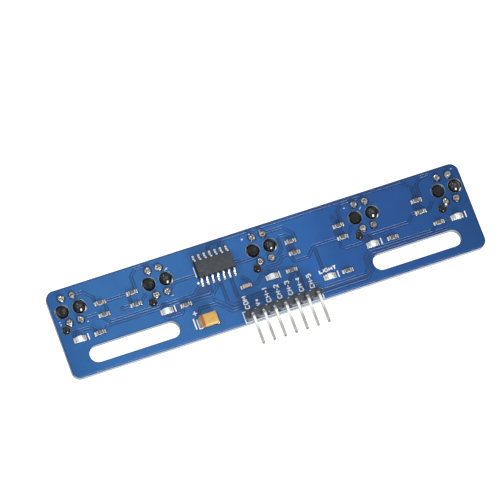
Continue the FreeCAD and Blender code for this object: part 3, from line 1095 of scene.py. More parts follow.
    def pads(self) -> None:
        """Build the bare tinned pads, square ones on top and round ones on both sides."""
        form = Form()
        thickness, edge = self.pad_height + self.sink, 0.02
        for middle, size in self.pad_places():
            form.block((*size, thickness), (middle.x, middle.y, (self.pad_height - self.sink) / 2), edge)
        for place in self.ring_places():
            for foot in (-self.sink, BOARD_LOW.z - self.pad_height):
                form.soften(form.rod(self.ring_radius, (place.x, place.y, foot), thickness, 28), edge, 1, 60)
        form.install("tinned_pads", [TIN], ["circuit_board"], "board_laminate")

    def vias(self) -> None:
        """Build the small plated holes under the lacquer, each a ring with a dimple."""
        profile = ((0.0, -0.01), (0.1, -0.005), (0.15, 0.05), (0.2, 0.08), (0.28, 0.075), (0.33, 0.05),
                   (self.via_radius, -self.sink), (0.0, -self.sink))
        form = Form()
        for via in VIAS:
            top = on_board(*via)
            form.turned(profile, top, 16)
            form.turned([(radius, -height) for radius, height in profile], (top.x, top.y, BOARD_LOW.z), 16)
        form.install("lacquered_vias", [MASK], ["circuit_board"], "board_laminate")


LETTERS: dict[str, tuple[tuple[Point, ...], ...]] = {
    "C": (((4, 1), (3, 0), (1, 0), (0, 1), (0, 5), (1, 6), (3, 6), (4, 5)),),
    "G": (((4, 5), (3, 6), (1, 6), (0, 5), (0, 1), (1, 0), (3, 0), (4, 1), (4, 3), (2.4, 3)),),
    "H": (((0, 0), (0, 6)), ((4, 0), (4, 6)), ((0, 3), (4, 3))),
    "I": (((0, 0), (0, 6)),),
    "L": (((0, 6), (0, 0), (4, 0)),),
    "M": (((0, 0), (0, 6)), ((0, 5.8), (2.5, 2.3)), ((2.5, 2.3), (5, 5.8)), ((5, 6), (5, 0))),
    "O": (((2, 0), (3, 0), (4, 1), (4, 5), (3, 6), (1, 6), (0, 5), (0, 1), (1, 0), (2, 0)),),
    "T": (((0, 6), (4, 6)), ((2, 6), (2, 0))),
    "V": (((0, 6), (2, 0)), ((2, 0), (4, 6))),
    "+": (((0, 3), (4, 3)), ((2, 1), (2, 5))),
    "-": (((0, 3), (2.4, 3)),),
    "1": (((0, 5), (1, 6), (1, 0)),),
    "2": (((0, 5), (1, 6), (3, 6), (4, 5), (4, 4), (0, 0), (4, 0)),),
    "3": (((0, 5), (1, 6), (3, 6), (4, 5), (4, 4), (3, 3), (4, 2), (4, 1), (3, 0), (1, 0), (0, 1)),),
    "4": (((3, 0), (3, 6)), ((3, 6), (0, 2)), ((0, 2), (4, 2))),
    "5": (((4, 6), (0, 6), (0, 3.4), (3, 3.4), (4, 2.4), (4, 1), (3, 0), (0, 0)),),
}


@dataclass(frozen=True)
class Label:
    """A word of the legend.

    Attributes:
        text: What it says.
        corner: Where its baseline starts, about the board's middle.
        length: Its length along the baseline.
        height: The height of its letters.
        upright: Whether it reads upwards, with its baseline along Y.
    """

    text: str
    corner: Point
    length: float
    height: float
    upright: bool = True


@dataclass
class Legend:
    """The white printing on the component side.

    Attributes:
        level: The printing's underside above the component side.
        thickness: The thickness of the ink.
        pen: The width of a letter's strokes.
        fine_pen: The width of the small flecks.
        frame_pen: The width of the header's frame.
        strokes: How many strokes have been printed so far.
        labels: The words.
        bars: The middle, width and height of every polarity mark.
        flecks: The two ends of every small fleck.
    """

    level: float = 0.03
    thickness: float = 0.048
    pen: float = 0.26
    fine_pen: float = 0.13
    frame_pen: float = 0.24
    strokes: int = field(default=0, init=False)
    labels: tuple[Label, ...] = (
        Label("COM", (-6.55, -7.1), 3.05, 1.15),
        Label("V+", (-4.05, -7.1), 1.7, 1.15),
        *(Label(f"CH-{number}", (-1.55 + 2.54 * (number - 1), -7.1), 3.4, 1.15) for number in range(1, 6)),
        Label("LIGHT", (10.5, -4.65), 4.1, 0.95, upright=False),
    )
    bars: tuple[tuple[float, float, float, float], ...] = (
        (-42.15, -1.9, 0.24, 1.5), (-22.2, -1.9, 0.24, 1.5), (2.15, -1.85, 0.24, 1.5),
        (26.15, -1.8, 0.24, 1.5), (46.1, -1.8, 0.24, 1.5), (14.45, -5.8, 0.24, 1.5),
        (-19.3, -6.65, 0.28, 2.5), (-18.5, -4.4, 1.0, 0.24), (-18.5, -4.4, 0.24, 1.0),
    )
    flecks: tuple[tuple[Point, Point], ...] = (
        ((-21.5, 6.8), (-21.1, 7.3)), ((-21.0, 7.0), (-20.8, 7.4)), ((-3.2, 8.0), (-2.8, 8.4)),
        ((-3.2, 8.4), (-2.9, 8.1)), ((20.7, 7.9), (21.1, 7.9)), ((24.1, 6.6), (24.5, 7.0)),
        ((-41.3, 1.3), (-41.0, 1.4)), ((-47.1, 2.1), (-46.9, 2.6)), ((-47.2, 2.9), (-46.9, 3.1)),
        ((46.6, 8.9), (46.9, 9.1)), ((-21.9, 1.0), (-21.5, 1.1)),
    )

    def build(self) -> None:
        """Build the words, the polarity marks and the outlines as one thin layer of ink."""
        form = Form()
        for label in self.labels:
            self.write(form, label)
        for x, y, width, height in self.bars:
            self.stroke(form, ((x, y - height / 2), (x, y + height / 2)), width)
        for ends in self.flecks:
            self.stroke(form, ends, self.fine_pen)
        self.outlines(form)
        form.install("legend_ink", [SILK], ["circuit_board"], "board_laminate")

    def stroke(self, form: Form, points: Path, width: float) -> None:
        """Add one printed line, each a hair higher than the last so that no two tops share a plane."""
        self.strokes += 1
        form.ribbon(points, width, self.level, self.level + self.thickness + 0.00008 * self.strokes)

    def outlines(self, form: Form) -> None:
        """Add the frame round the header and the mark at the chip's first lead.

        Args:
            form: The form that gathers the ink.
        """
        left, right, front, back = -8.55, 9.6, -9.98, -7.5
        self.stroke(form, ((-15.35, 3.2), (-15.35, 5.6)), 0.22)
        self.stroke(form, ((right, back), (left, back), (left, front), (right, front), (right, back - 0.1)),
                    self.frame_pen)
        form.rod(0.28, on_board(-15.45, 1.85, self.level), self.thickness, 20)

    def write(self, form: Form, label: Label) -> None:
        """Add one word in stroke letters, fitted to its length and height.

        Args:
            form: The form that gathers the ink.
            label: The word.
        """
        start, strokes, space, tall = 0.0, [], 2.0, 6
        for letter in label.text:
            lines = LETTERS[letter]
            strokes += [[(start + x, y) for x, y in line] for line in lines]
            start += max(x for line in lines for x, _ in line) + space
        fit = (label.length - self.pen) / (start - space), (label.height - self.pen) / tall
        for line in strokes:
            points = [(x * fit[0] + self.pen / 2, y * fit[1] + self.pen / 2) for x, y in line]
            if label.upright:
                points = [(-y, x) for x, y in points]
            self.stroke(form, [(label.corner[0] + x, label.corner[1] + y) for x, y in points], self.pen)


# --- reflective sensors ---

@dataclass
class ReflectiveSensor:
    """One reflective sensor: its housing, emitter, detector and leads.

    Attributes:
        number: Its place along the board, from 1 at the left.
        lead_tops: How far each lead stands above the board, in the order of its four places.
        lead_lean: How far the leads' free ends lean, in degrees.
        body: The housing's width, length and height.
        edge: The width of the housing's bevels.
        pocket: The width and length of a pocket.
        pocket_y: How far a pocket's middle is from the housing's.
        back_wall: The thickness of the wall behind the pockets.
        peg_x: How far a large peg is from the middle.
        peg_radius: The radius of a large peg's lug.
        peg_hole: The radius of the board's hole for a large peg.
        key: The place of the small locating peg.
        key_radius: Its radius.
        key_hole: The radius of the board's hole for it.
        lens_radius: The radius of a diode's lens.
        lead: The thickness of a lead.
    """

    number: int
    lead_tops: tuple[float, float, float, float] = (0.42, 0.42, 0.42, 0.42)
    lead_lean: float = 0.0
    body: Triple = (5.8, 10.2, 7.0)
    edge: float = 0.16
    pocket: Point = (4.2, 3.9)
    pocket_y: float = 2.75
    back_wall: float = 1.0
    peg_x: float = 2.02
    peg_radius: float = 1.4
    peg_hole: float = 1.55
    key: Point = (-2.5, -4.2)
    key_radius: float = 0.78
    key_hole: float = 0.9
    lens_radius: float = 1.5
    lead: float = 0.5

    def __post_init__(self) -> None:
        """Find the sensor's leads and the middle of its back."""
        self.low, self.high = box_of(f"sensor_{self.number}_leads")
        middle = (self.low + self.high) / 2
        self.centre = Vector((middle.x, middle.y, BOARD_LOW.z))

    def build(self) -> None:
        """Build the sensor's four pieces."""
        self.housing()
        self.diode(Diode.EMITTER, EMITTER_RESIN)
        self.diode(Diode.DETECTOR, DETECTOR_RESIN)
        self.leads()

    def at(self, x: float, y: float, z: float) -> Vector:
        """Return a point given from the middle of the sensor's back."""
        return self.centre + Vector((x, y, z))

    def holes(self) -> Iterator[tuple[Vector, float]]:
        """Give the middle and radius of the board's three holes for the pegs."""
        for x, y, radius in ((-self.peg_x, 0, self.peg_hole), (self.peg_x, 0, self.peg_hole),
                             (*self.key, self.key_hole)):
            yield self.at(x, y, 0).xy, radius

    def lead_places(self) -> Iterator[Vector]:
        """Give the middle of every lead, on the component side."""
        half = self.lead / 2
        for x in (self.low.x + half, self.high.x - half):
            for y in (self.low.y + half, self.high.y - half):
                yield Vector((x, y, 0))

    def housing(self) -> None:
        """Build the moulding: a block with two pockets, side lugs, two pegs and a locating peg."""
        height = self.body[2]
        form = Form()
        form.block(self.body, self.at(0, 0, -height / 2), self.edge, 3)
        for x, y, radius, low, high, segments, edge in (
                (-self.peg_x, 0, self.peg_radius, -3.0, -0.02, 40, 0.2),
                (self.peg_x, 0, self.peg_radius, -3.0, -0.02, 40, 0.2),
                (*self.key, self.key_radius, -1.2, -0.01, 28, 0.12)):
            lug = Form()
            lug.soften(lug.rod(radius, self.at(x, y, low), high - low, segments), edge, 2, 60)
            form = form.carved(lug, Carving.JOIN)
        pockets = Form()
        depth = height - self.back_wall
        mouth = [size + 0.3 for size in self.pocket]
        for side in WAYS:
            y = side * self.pocket_y
            pockets.block((*self.pocket, depth + 1.0), self.at(0, y, -height + depth / 2 - 0.5), 0.25, 2)
            pockets.block((*mouth, 0.5), self.at(0, y, -height - 0.05), 0.12, 2)
        form = form.carved(pockets)
        self.pegs(form)
        form.install(f"sensor_{self.number}_moulding", [HOUSING, GLOSSY_PEG, DULL_PEG],
                     [f"sensor_{self.number}_housing"], "sensor_plastic")

    def pegs(self, form: Form) -> None:
        """Add the pegs: a polished dome on the right, a flat-topped one on the left, and the small key.

        Args:
            form: The housing.
        """
        deep, top = -0.4, -BOARD_LOW.z
        wide = self.peg_radius * 0.94
        dome = [(0, deep), (wide, deep), (wide, top - 0.16), (wide * 0.975, top - 0.04),
                (wide * 0.93, top + 0.05), (wide * 0.88, top + 0.125), (wide * 0.58, top + 0.585),
                (wide * 0.5, top + 0.66), (wide * 0.4, top + 0.71), (wide * 0.24, top + 0.75),
                (0, top + 0.77)]
        form.turned(dome, self.at(self.peg_x, 0, 0), 48, 1)
        wide = self.peg_radius * 0.88
        flat = [(0, deep), (wide, deep), (wide, top - 0.1), (wide * 0.96, top + 0.12),
                (wide * 0.84, top + 0.3), (wide * 0.66, top + 0.38), (wide * 0.45, top + 0.3),
                (wide * 0.2, top + 0.12), (0, top + 0.08)]
        form.turned(flat, self.at(-self.peg_x, 0, 0), 48, 2)
        small = self.key_radius
        key = [(0, deep), (small, deep), (small, top + 0.15), (small * 0.9, top + 0.38),
               (small * 0.66, top + 0.52), (small * 0.4, top + 0.5), (small * 0.2, top + 0.4),
               (0, top + 0.38)]
        form.turned(key, self.at(*self.key, 0), 32, 2)

    def diode(self, kind: Diode, resin: Finish) -> None:
        """Build the emitter or the detector, with its lead frame inside.

        Args:
            kind: Which of the two is built.
            resin: The finish of its resin.
        """
        y = kind.value * self.pocket_y
        back = -self.back_wall
        play, thickness = 0.2, 3.0
        form = Form()
        block = (self.pocket[0] - play, self.pocket[1] - play, thickness)
        form.block(block, self.at(0, y, back - thickness / 2), 0.14, 2)
        radius = self.lens_radius
        start, tip = back - thickness + 0.1, -self.body[2] + 0.35
        arc = [math.radians(6 * step) for step in range(1, 15)]
        profile = [(0, start), (radius, start), (radius, tip + radius)]
        profile += [(radius * math.cos(a), tip + radius - radius * math.sin(a)) for a in arc]
        lens = Form()
        lens.turned([*profile, (0, tip)], self.at(0, y, 0), 48)
        form = form.carved(lens, Carving.JOIN)
        for side, plate in ((-1, 1.5), (1, 0.8)):
            form.block((plate, 0.9, 2.2), self.at(side * 0.95, y, back - 1.3), 0.08, 1, 1)
        form.rod(0.62, self.at(-0.5, y, back - 2.95), 0.55, 24, 1)
        form.box((0.4, 0.4, 0.12), self.at(-0.5, y, back - 3.02), 2)
        name = kind.name.lower()
        form.install(f"sensor_{self.number}_{name}_resin", [resin, TIN, CUT_METAL],
                     [f"sensor_{self.number}_{name}"], f"{name}_epoxy")

    def leads(self) -> None:
        """Build the four leads, each cut off above its joint; a long one's free end leans."""
        form = Form()
        foot, knee, edge = self.low.z, 0.35, 0.05
        lean = Matrix.Rotation(math.radians(-self.lead_lean), 4, "Y")
        lean @= Matrix.Rotation(math.radians(-self.lead_lean), 4, "X")
        for place, top in zip(sorted(self.lead_places(), key=lambda place: place.y), self.lead_tops):
            straight = min(top, knee)
            middle = Vector((place.x, place.y, (straight + foot) / 2))
            faces = form.box((self.lead, self.lead, straight - foot), middle)
            max(faces, key=lambda face: face.calc_center_median().z).material_index = 1
            form.soften(faces, edge, 1)
            if top > straight:
                length = top - straight + 0.3
                middle = Vector((place.x, place.y, straight - 0.2)) + lean @ (UP * length / 2)
                faces = form.box((self.lead, self.lead, length), middle, 0, lean)
                max(faces, key=lambda face: face.normal.z).material_index = 1
                form.soften(faces, edge, 1)
        form.install(f"sensor_{self.number}_lead_wires", [TIN, CUT_METAL], [f"sensor_{self.number}_leads"],
                     "tinned_leads")


# --- soldered joints ---

@dataclass
class SolderWork:
    """The solder round the leads, the header's tails and the ends of the flat parts.

    Attributes:
        seed: The seed for the small differences from joint to joint.
        pad_radius: The outer radius of a drilled pad's solder.
    """

    seed: int = 11
    pad_radius: float = 0.9

    def __post_init__(self) -> None:
        """Take up the dice."""
        self.dice = random.Random(self.seed)

    def build(self) -> None:
        """Build the sensor joints, the header joints and the fillets."""
        self.sensor_joints()
        self.header_joints()
        self.fillets()

    def joint(self, form: Form, foot: Vector, rise: float, crater: float) -> None:
        """Add one joint: a rounded cone that dips round its lead.

        Args:
            form: The form that gathers the joints.
            foot: The middle of its pad.
            rise: Its height.
            crater: How deep its middle dips.
        """
        edge = self.pad_radius * self.dice.uniform(0.94, 1.02)
        crest = self.dice.uniform(0.46, 0.56)
        profile = [(0, -0.02), (edge, -0.02), (edge, 0.05), (edge * 0.93, rise * 0.3),
                   (edge * 0.84, rise * 0.62), (crest + 0.16, rise * 0.92), (crest, rise),
                   (crest - 0.12, rise * 0.97), (0.27, rise - crater * 0.7), (0.16, rise - crater),
                   (0, rise - crater)]
        faces = form.turned(profile, foot, 32)
        shift = [self.dice.uniform(0, math.tau) for _ in range(4)]
        for vert in {vert for face in faces for vert in face.verts}:
            out = vert.co - foot
            turn = math.atan2(out.y, out.x)
            swell = 1 + 0.05 * math.cos(2 * turn + shift[0]) + 0.04 * math.cos(3 * turn + shift[1])
            tilt = 0.28 * math.cos(turn + shift[2]) + 0.12 * math.cos(3 * turn + shift[3])
            lift = 1 + tilt * out.xy.length
            vert.co = foot + Vector((out.x * swell, out.y * swell, out.z * lift))

    def sensor_joints(self) -> None:
        """Build the twenty joints of the sensors' leads."""
        form = Form()
        for number in SENSORS:
            for place in ReflectiveSensor(number).lead_places():
                self.joint(form, place, self.dice.uniform(0.42, 0.6), self.dice.uniform(0.14, 0.26))
        form.install("sensor_lead_solder", [SOLDER], ["sensor_solder_joints"], "solder", 50)

    def header_joints(self) -> None:
        """Build the seven joints of the header's tails, under the board."""
        form = Form()
        edge = self.pad_radius
        for place in PinHeader().tail_places():
            rise = self.dice.uniform(0.72, 0.8)
            profile = [(0, 0.02), (edge, 0.02), (edge, -0.05), (edge * 0.82, -rise * 0.3),
                       (edge * 0.66, -rise * 0.6), (0.5, -rise * 0.9), (0.44, -rise), (0, -rise)]
            form.turned(profile, (place.x, place.y, BOARD_LOW.z), 24)
        form.install("header_tail_solder", [SOLDER], ["header_solder_joints"], "solder", 50)

    def fillet(self, form: Form, foot: Vector, side: int, length: float, width: float, rise: float,
               along: Vector = AXIS_X) -> None:
        """Add one fillet: a hollow-faced wedge from a part's end down to its pad.

        Args:
            form: The form that gathers the fillets.
            foot: The foot of the part's end, on the board.
            side: Which way it runs out.
            length: How far it runs out.
            width: Its width.
            rise: How far it climbs.
            along: The direction that it runs out in.
        """
        across, out = UP.cross(along), along * side
        start = foot - across * width / 2
        back, toe, steps = start - out * 0.12, 0.03, 6
        turns = [math.radians(90 * step / steps) for step in range(steps + 1)]
        curve = [start + out * length * 0.98 * (1 - math.cos(turn)) + UP * (toe + rise * (1 - math.sin(turn)))
                 for turn in turns]
        faces = form.prism([back, back + UP * (rise + toe), *curve, start + out * length], across * width)
        form.soften(faces, 0.05, 2, 40)

    def fillets(self) -> None:
        """Build the fillets at every end of a surface-mounted part."""
        form = Form()
        for name in FLAT_CHIPS:
            low, high = box_of(name)
            for side in WAYS:
                foot = Vector(((low.x + high.x) / 2 + side * 0.8, (low.y + high.y) / 2, 0))
                length, width = self.dice.uniform(0.42, 0.5), self.dice.uniform(0.84, 0.94)
                self.fillet(form, foot, side, length, width, (high.z - low.z) * 0.82)
        for name in LIGHTS:
            middle = middle_of(name)
            for side in WAYS:
                self.fillet(form, Vector((middle.x + side, middle.y, 0)), side, 0.4, 1.2, 0.28)
        low, high = box_of("tantalum_capacitor_terminals")
        for x, side in ((low.x, -1), (high.x, 1)):
            self.fillet(form, Vector((x, (low.y + high.y) / 2, 0)), side, 0.55, 2.2, 0.8)
        for toe, side in ComparatorChip().toes():
            self.fillet(form, toe, side, 0.45, 0.5, 0.2, AXIS_Y)
        form.install("flat_part_solder", [FILLET], ["smd_solder_fillets"], "solder", 50)


# --- flat parts ---

@dataclass
class ChipResistors:
    """The sixteen chip resistors: white ceramic slabs with a dark glaze, and metal ends.

    Attributes:
        glaze: The thickness of the glaze on top.
        edge: The width of the bevels.
        seam: The width of the painted shade strip beside each end.
        cap: The length of a metal end.
    """

    glaze: float = 0.06
    edge: float = 0.035
    seam: float = 0.11
    cap: float = 0.34

    def build(self) -> None:
        """Build each resistor's body and all of their ends."""
        ends = Form()
        for name in RESISTORS:
            low, high = box_of(name)
            x, y, _ = (low + high) / 2
            length, width, height = high.x - low.x, high.y - low.y, high.z
            slab = height - self.glaze
            form = Form()
            form.block((length, width, slab), (x, y, slab / 2), self.edge)
            form.block((length, width - 0.08, self.glaze), (x, y, height - self.glaze / 2), 0.025, 2, 1)
            for side in WAYS:
                # Painted shade: a dark strip across the top where the glaze meets each end.
                form.box((self.seam, width - 0.02, 0.04), (x + side * (length / 2 - 0.08), y, height), 2)
                out = length / 2 + 0.14
                ends.block((self.cap, width + 0.03, height + 0.02), (x + side * out, y, height / 2), 0.05, 2)
                # Painted shade: a dark strip across each end cap's outer face, near its top.
                ends.box((self.seam, width + 0.04, 0.06), (x + side * (out + 0.2), y, height * 0.84), 1)
            form.install(f"{name}_slab", [CERAMIC_WHITE, RESISTOR_GLAZE, SEAM_SHADE], [name], "resistor_film")
        ends.install("resistor_end_caps", [END_PLATE, SEAM_SHADE], ["resistor_terminals"], "tinned_terminals")


@dataclass
class CeramicCapacitor:
    """The small tan capacitor with wrapped metal ends.

    Attributes:
        edge: The width of the bevels.
        cap: The length of a metal end.
        cap_x: How far a metal end is from the middle.
    """

    edge: float = 0.08
    cap: float = 0.32
    cap_x: float = 0.66

    def build(self) -> None:
        """Build the body and its two ends."""
        low, high = box_of("ceramic_capacitor_body")
        x, y, _ = (low + high) / 2
        length, width, height = high.x - low.x, high.y - low.y, high.z
        form = Form()
        form.block((length + 0.3, width - 0.04, height - 0.04), (x, y, height / 2 - 0.02), self.edge, 3)
        form.install("ceramic_capacitor_block", [CERAMIC_TAN], ["ceramic_capacitor_body"],
                     "capacitor_ceramic")
        ends = Form()
        for side in WAYS:
            ends.block((self.cap, width + 0.03, height), (x + side * self.cap_x, y, height / 2), self.edge, 3)
        ends.install("ceramic_capacitor_caps", [END_PLATE], ["ceramic_capacitor_terminals"],
                     "tinned_terminals")


@dataclass
class StatusLights:
    """The six white lights: base, clear lens with a die inside, and plated ends.

    Attributes:
        notch: The radius of the half-round notch in each end.
        cap: The length of a plated end.
        cap_x: How far a plated end is from the middle.
        edge: The width of the bevels on the base and the ends.
        lean: How far the lens's ends lean in.
        die: The width of the die.
    """

    notch: float = 0.2
    cap: float = 0.36
    cap_x: float = 0.83
    edge: float = 0.03
    lean: float = 0.16
    die: float = 0.42

    def build(self) -> None:
        """Build each lens, and the bases and ends together."""
        bases, ends = Form(), Form()
        for name in LIGHTS:
            low, high = box_of(name)
            self.lens(name, low, high)
            x, y, _ = (low + high) / 2
            width, height = high.y - low.y, low.z
            bases.block((high.x - low.x + 0.06, width, height - 0.02), (x, y, height / 2), self.edge)
            for side in WAYS:
                end = Form()
                end.block((self.cap, width, height), (x + side * self.cap_x, y, height / 2), self.edge)
                bite = Form()
                bite.rod(self.notch, (x + side * (self.cap_x + self.cap / 2), y, -0.2), 1.0, 20)
                ends.gather(end.carved(bite))
        bases.install("light_bases", [LIGHT_BASE], ["led_bases"], "light_base")
        ends.install("light_end_plating", [TIN], ["led_terminals"], "tinned_terminals")

    def lens(self, name: str, low: Vector, high: Vector) -> None:
        """Build one lens: a moulded block with leaning ends, and the die under it.

        Args:
            name: The CAD node.
            low: Its lowest corner.
            high: Its highest corner.
        """
        form = Form()
        outline = [(low.x, low.y, low.z), (high.x, low.y, low.z), (high.x - self.lean, low.y, high.z),
                   (low.x + self.lean, low.y, high.z)]
        form.soften(form.prism(outline, (0, high.y - low.y, 0)), 0.06, 2)
        x, y, _ = (low + high) / 2
        form.box((self.die, self.die, 0.1), (x, y, low.z + 0.1), 1)
        form.install(f"{name}_resin", [LIGHT_RESIN, PHOSPHOR], [name], "light_lens")


@dataclass
class TantalumCapacitor:
    """The moulded tantalum capacitor with its printed band and folded straps.

    Attributes:
        edge: The width of the body's bevels.
        lean: How far its sides lean in, top and bottom.
        trim: How much narrower and longer the body is than its plain block.
        band: Where the band starts and ends, from the body's left end.
        strap: The width of the metal straps.
        fold: The thickness of a strap.
        foot: How far a strap reaches under the body.
    """

    edge: float = 0.07
    lean: float = 0.05
    trim: Point = (0.18, 0.3)
    band: Point = (0.06, 0.78)
    strap: float = 2.2
    fold: float = 0.1
    foot: float = 0.8

    def build(self) -> None:
        """Build the body and the two straps."""
        low, high = box_of("tantalum_capacitor_body")
        narrower, longer = self.trim
        low, high = low + AXIS_Y * narrower, high + AXIS_X * longer
        waist = low.z + (high.z - low.z) * 0.4
        form = Form()
        form.loft([rectangle(low, high, low.z, self.lean), rectangle(low, high, waist),
                   rectangle(low, high, high.z, self.lean)])
        form.soften(form.bm.faces[:], self.edge, 3, 40)
        start, end = (low.x + edge for edge in self.band)
        resin = BandedResin("yellow_moulded_resin", (0.56, 0.33, 0.075), (0.70, 0.445, 0.120), (0.28, 0.42),
                            0.7, 0.07, 0.006, coat=0.15, band=(0.38, 0.115, 0.035), start=start, end=end)
        form.install("tantalum_capacitor_moulding", [resin], ["tantalum_capacitor_body"], "capacitor_resin")
        self.straps(low, high)

    def straps(self, low: Vector, high: Vector) -> None:
        """Build the two straps, each folded under the body and up its end.

        Args:
            low: The body's lowest corner.
            high: Its highest corner.
        """
        form = Form()
        front = (low.y + high.y - self.strap) / 2
        fold, foot, top = self.fold, self.foot, 1.0
        profile = ((-foot, 0), (0.02, 0), (fold, 0.08), (fold, top), (0, top), (0, fold), (-foot, fold))
        for x, side in ((low.x, -1), (high.x, 1)):
            outline = [(x + side * out, front, z) for out, z in profile]
            form.soften(form.prism(outline, (0, self.strap, 0)), 0.02, 1)
        form.install("tantalum_capacitor_straps", [TIN], ["tantalum_capacitor_terminals"], "tinned_terminals")


@dataclass
class ComparatorChip:
    """The 14-lead comparator: a moulded body with a dimple, and bent leads.

    Attributes:
        lean: How far the body's sides lean in above and below the leads.
        edge: The width of the body's bevels.
        lead_width: The width of a lead.
        lead_thickness: The thickness of a lead.
        pitch: The distance between leads.
        pairs: The number of leads on each side.
        bend: The width of the bevel that rounds a lead's bends.
        dimple: The radius of the dimple at the first lead.
        dimple_inset: How far the dimple's middle is from the body's sides.
    """

    lean: float = 0.13
    edge: float = 0.05
    lead_width: float = 0.42
    lead_thickness: float = 0.2
    pitch: float = 1.27
    pairs: int = 7
    bend: float = 0.11
    dimple: float = 0.45
    dimple_inset: float = 0.95

    def toes(self) -> Iterator[tuple[Vector, int]]:
        """Give the middle of every lead's toe, on the board, and which way it points along Y."""
        low, high = box_of("logic_ic_leads")
        for index in range(self.pairs):
            x = low.x + self.lead_width / 2 + index * self.pitch
            for y, side in ((low.y, -1), (high.y, 1)):
                yield Vector((x, y, 0)), side

    def build(self) -> None:
        """Build the body and the leads."""
        low, high = box_of("logic_ic_body")
        waist = (low.z + high.z) / 2
        levels = [(low.z, self.lean), (waist - 0.06, 0), (waist + 0.06, 0), (high.z, self.lean)]
        form = Form()
        form.loft([rectangle(low, high, z, inset) for z, inset in levels])
        form.soften(form.bm.faces[:], self.edge, 2, 40)
        bite = Form()
        centre = Vector((low.x + self.dimple_inset, low.y + self.dimple_inset, high.z - 0.09))
        wide, tall = self.dimple, 0.4
        bite.turned([(0, 0), (wide * 0.8, 0.0), (wide, 0.07), (wide, tall), (0, tall)], centre, 32)
        form = form.carved(bite)
        # Painted shade: the body's sides below its top take the darker copy of the compound.
        for face in form.bm.faces:
            is_side = abs(face.normal.z) < 0.6 and face.calc_center_median().z < high.z - 0.06
            face.material_index = int(is_side)
        form.install("comparator_moulding", [CHIP_RESIN, SHADED_CHIP_SIDE], ["logic_ic_body"], "chip_epoxy")
        self.leads(low, high, waist)

    def leads(self, low: Vector, high: Vector, waist: float) -> None:
        """Build the fourteen leads, bent down and out to the board.

        Args:
            low: The body's lowest corner.
            high: Its highest corner.
            waist: The height that the leads leave it at.
        """
        thick, sole = self.lead_thickness, 0.02
        top, bottom = waist + thick / 2, waist - thick / 2
        form = Form()
        for place, side in self.toes():
            x, toe, root = place.x - self.lead_width / 2, place.y, high.y if side > 0 else low.y
            heel, knee = toe - side * 0.5, root + side * 0.4
            outline = [(root - side * 0.1, top), (knee, top), (heel + side * 0.03, thick), (toe, thick),
                       (toe, sole), (heel - side * 0.14, sole), (knee - side * 0.16, bottom),
                       (root - side * 0.1, bottom)]
            faces = form.prism([(x, y, z) for y, z in outline], (self.lead_width, 0, 0))
            bends = {edge for face in faces for edge in face.edges
                     if abs(edge.verts[0].co.x - edge.verts[1].co.x) > 0.1
                     and min(abs(edge.verts[0].co.y - knee), abs(edge.verts[0].co.y - heel)) < 0.2}
            form.bevel(list(bends), self.bend, 3)
        form.install("comparator_leads", [CHIP_LEAD], ["logic_ic_leads"], "tinned_leads")


# --- pin header ---

